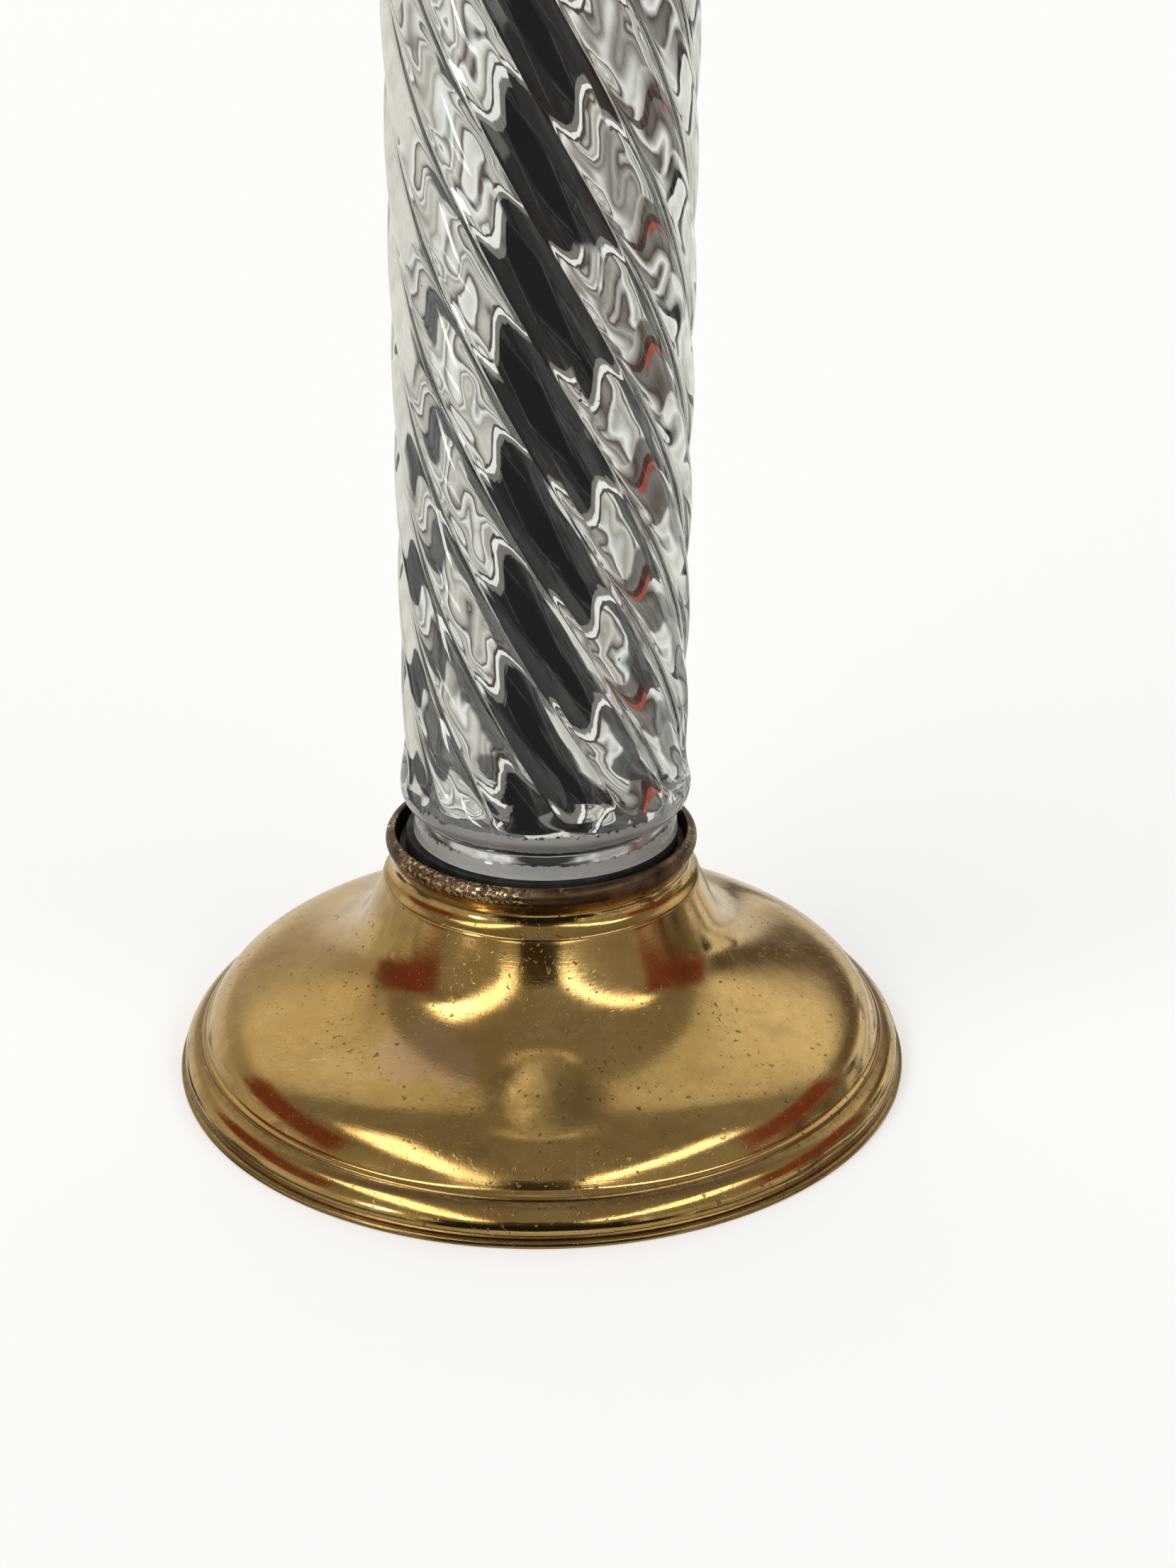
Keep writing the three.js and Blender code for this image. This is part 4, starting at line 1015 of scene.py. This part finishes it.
def ceiling(room, colour):
    """Everything above eye level: dim ahead, lit behind, with two long ceiling lights."""
    away = room.math("ABSOLUTE", room.azimuth)
    behind = room.step(away, 95, 125)
    left = room.step(room.x, -0.35, 0.25, 1, 0)
    wall = room.mix(behind, (0.34, 0.32, 0.29), room.mix(left, (0.24, 0.22, 0.2), (0.52, 0.49, 0.44)))
    depth = room.math("DIVIDE", room.y, room.height)
    edge = room.step(depth, 0.37, 0.42, 0, 0.55)
    lit = room.math("ADD", edge, room.step(depth, 0.4, 1.1, 0, 0.45))
    upper = room.mix(room.math("MULTIPLY", behind, lit), (0.26, 0.24, 0.215), (0.94, 0.89, 0.79))
    upper = room.mix(room.step(room.elevation, 18, 32), wall, upper)
    for side, reach in ((-1, 14), (1, 12)):
        upper = room.patch(upper, (90 * side, 14), (20, reach), 5, (0.2, 0.035, 0.015), 0.9, 14)
    upper = room.patch(upper, (150, 12), (28, 5), 6, (0.1, 0.07, 0.05), 0.7, 14)
    upper = room.patch(upper, (0, 11), (14, 11), 1, (0.05, 0.04, 0.03), 1.0, 2)
    for near_x, far_x, half_width, near, far in CEILING_LIGHTS:
        cover = ceiling_strip(room, near_x, far_x, half_width, near, far)
        upper = room.mix(cover, upper, (3.8, 3.65, 3.35))
    return room.mix(room.step(room.elevation, 4, 10), colour, upper)


def ceiling_strip(room, near_x, far_x, half_width, near, far):
    """Cover of a long ceiling light that runs away past the camera."""
    px = room.math("DIVIDE", room.x, room.height)
    py = room.math("DIVIDE", room.y, room.height)
    middle = room.math("MULTIPLY_ADD", py, (near_x - far_x) / (far - near), near_x)
    offset = room.math("SUBTRACT", px, middle)
    across = room.between(offset, -half_width, half_width, 0.16)
    along = room.between(py, -far, -near, 0.3)
    return room.math("MULTIPLY", across, along)


CREAM, STONE, GREY = (0.72, 0.7, 0.63), (0.43, 0.41, 0.365), (0.22, 0.205, 0.185)
BROWN, DARK, PALE = (0.085, 0.062, 0.048), (0.018, 0.017, 0.016), (0.96, 0.96, 0.93)

# (from, to) azimuths, tints by their place in a set, degrees a set, drift and seed
STREAKS = (
    ((-124, -22),
     ((0, CREAM), (0.16, STONE), (0.26, BROWN), (0.34, PALE), (0.5, CREAM), (0.62, GREY),
      (0.7, PALE), (0.82, STONE), (1, CREAM)),
     32, 4, 3.0),
    ((24, 77),
     ((0, STONE), (0.14, PALE), (0.22, BROWN), (0.32, CREAM), (0.46, STONE), (0.56, PALE),
      (0.63, BROWN), (0.76, STONE), (0.88, GREY), (1, STONE)),
     24, 2.4, 7.0),
    ((80, 114),
     ((0, GREY), (0.3, BROWN), (0.5, STONE), (0.7, PALE), (0.85, BROWN), (1, GREY)),
     18, 2, 11.0),
    ((118, 180),
     ((0, CREAM), (0.3, PALE), (0.42, STONE), (0.48, DARK), (0.6, DARK), (0.64, PALE), (1, CREAM)),
     28, 3, 15.0),
)
# (azimuth, elevation), half sizes, softness, tint, cover and raggedness
PATCHES = (
    ((-135, -20), (9, 4), 2, (0.06, 0.06, 0.06), 1.0, 6),
    ((-98, -18), (6, 6), 2, (0.05, 0.05, 0.055), 0.9, 6),
    ((-72, -30), (54, 7), 1.5, (0.075, 0.07, 0.066), 0.85, 14),
    ((92, -21), (2, 8), 1, (0.4, 0.08, 0.04), 0.9, 6),
    ((89, -8), (1.5, 22), 1, (0.06, 0.02, 0.015), 0.9, 6),
    ((-47, 3), (3, 4), 1, (16, 16, 16), 1.0, 2),
    ((145, -24), (40, 3), 2, (0.1, 0.1, 0.09), 0.7, 6),
    ((52, -27), (42, 4.5), 1, (0.05, 0.05, 0.05), 0.9, 26),
)
# The dark shape in front: each ring of tint reaches this many degrees past it
RINGS = ((9, BROWN), (7, PALE), (3.5, GREY), (0, DARK))


def surroundings():
    """A plain white world to look at, and a pale, uneven room for reflections."""
    world = bpy.data.worlds.new("studio")
    bpy.context.scene.world = world
    room = Room(world)
    colour = room.mix(room.step(room.ripple, 0.35, 0.7), (0.85, 0.83, 0.76), (0.7, 0.68, 0.61))
    for streak in STREAKS:
        colour = room.streaks(colour, *streak)
    for patch in PATCHES:
        colour = room.patch(colour, *patch)
    for grow, tint in RINGS:
        colour = room.patch(colour, (-1, -5), (26 + grow, 15 + grow), 1, tint, 1.0, 9)
        colour = room.patch(colour, (4, -21), (36 + grow, 9), 1, tint, 1.0, 12)
    below = room.step(room.elevation, -44, -33, 1, 0)
    colour = room.mix(below, colour, (0.55, 0.55, 0.54))
    colour = ceiling(room, colour)
    seen = room.add("ShaderNodeLightPath").outputs["Is Camera Ray"]
    colour = room.mix(seen, colour, WHITE)
    background = room.add("ShaderNodeBackground", Color=colour, Strength=1.0)
    room.add("ShaderNodeOutputWorld", Surface=background.outputs[0])


floor()
surroundings()
GLOSSY_BOUNCES = 12  # light is caught between the glass and its silver
bpy.context.scene.cycles.glossy_bounces = GLOSSY_BOUNCES
bpy.context.scene.view_settings.view_transform = "Standard"
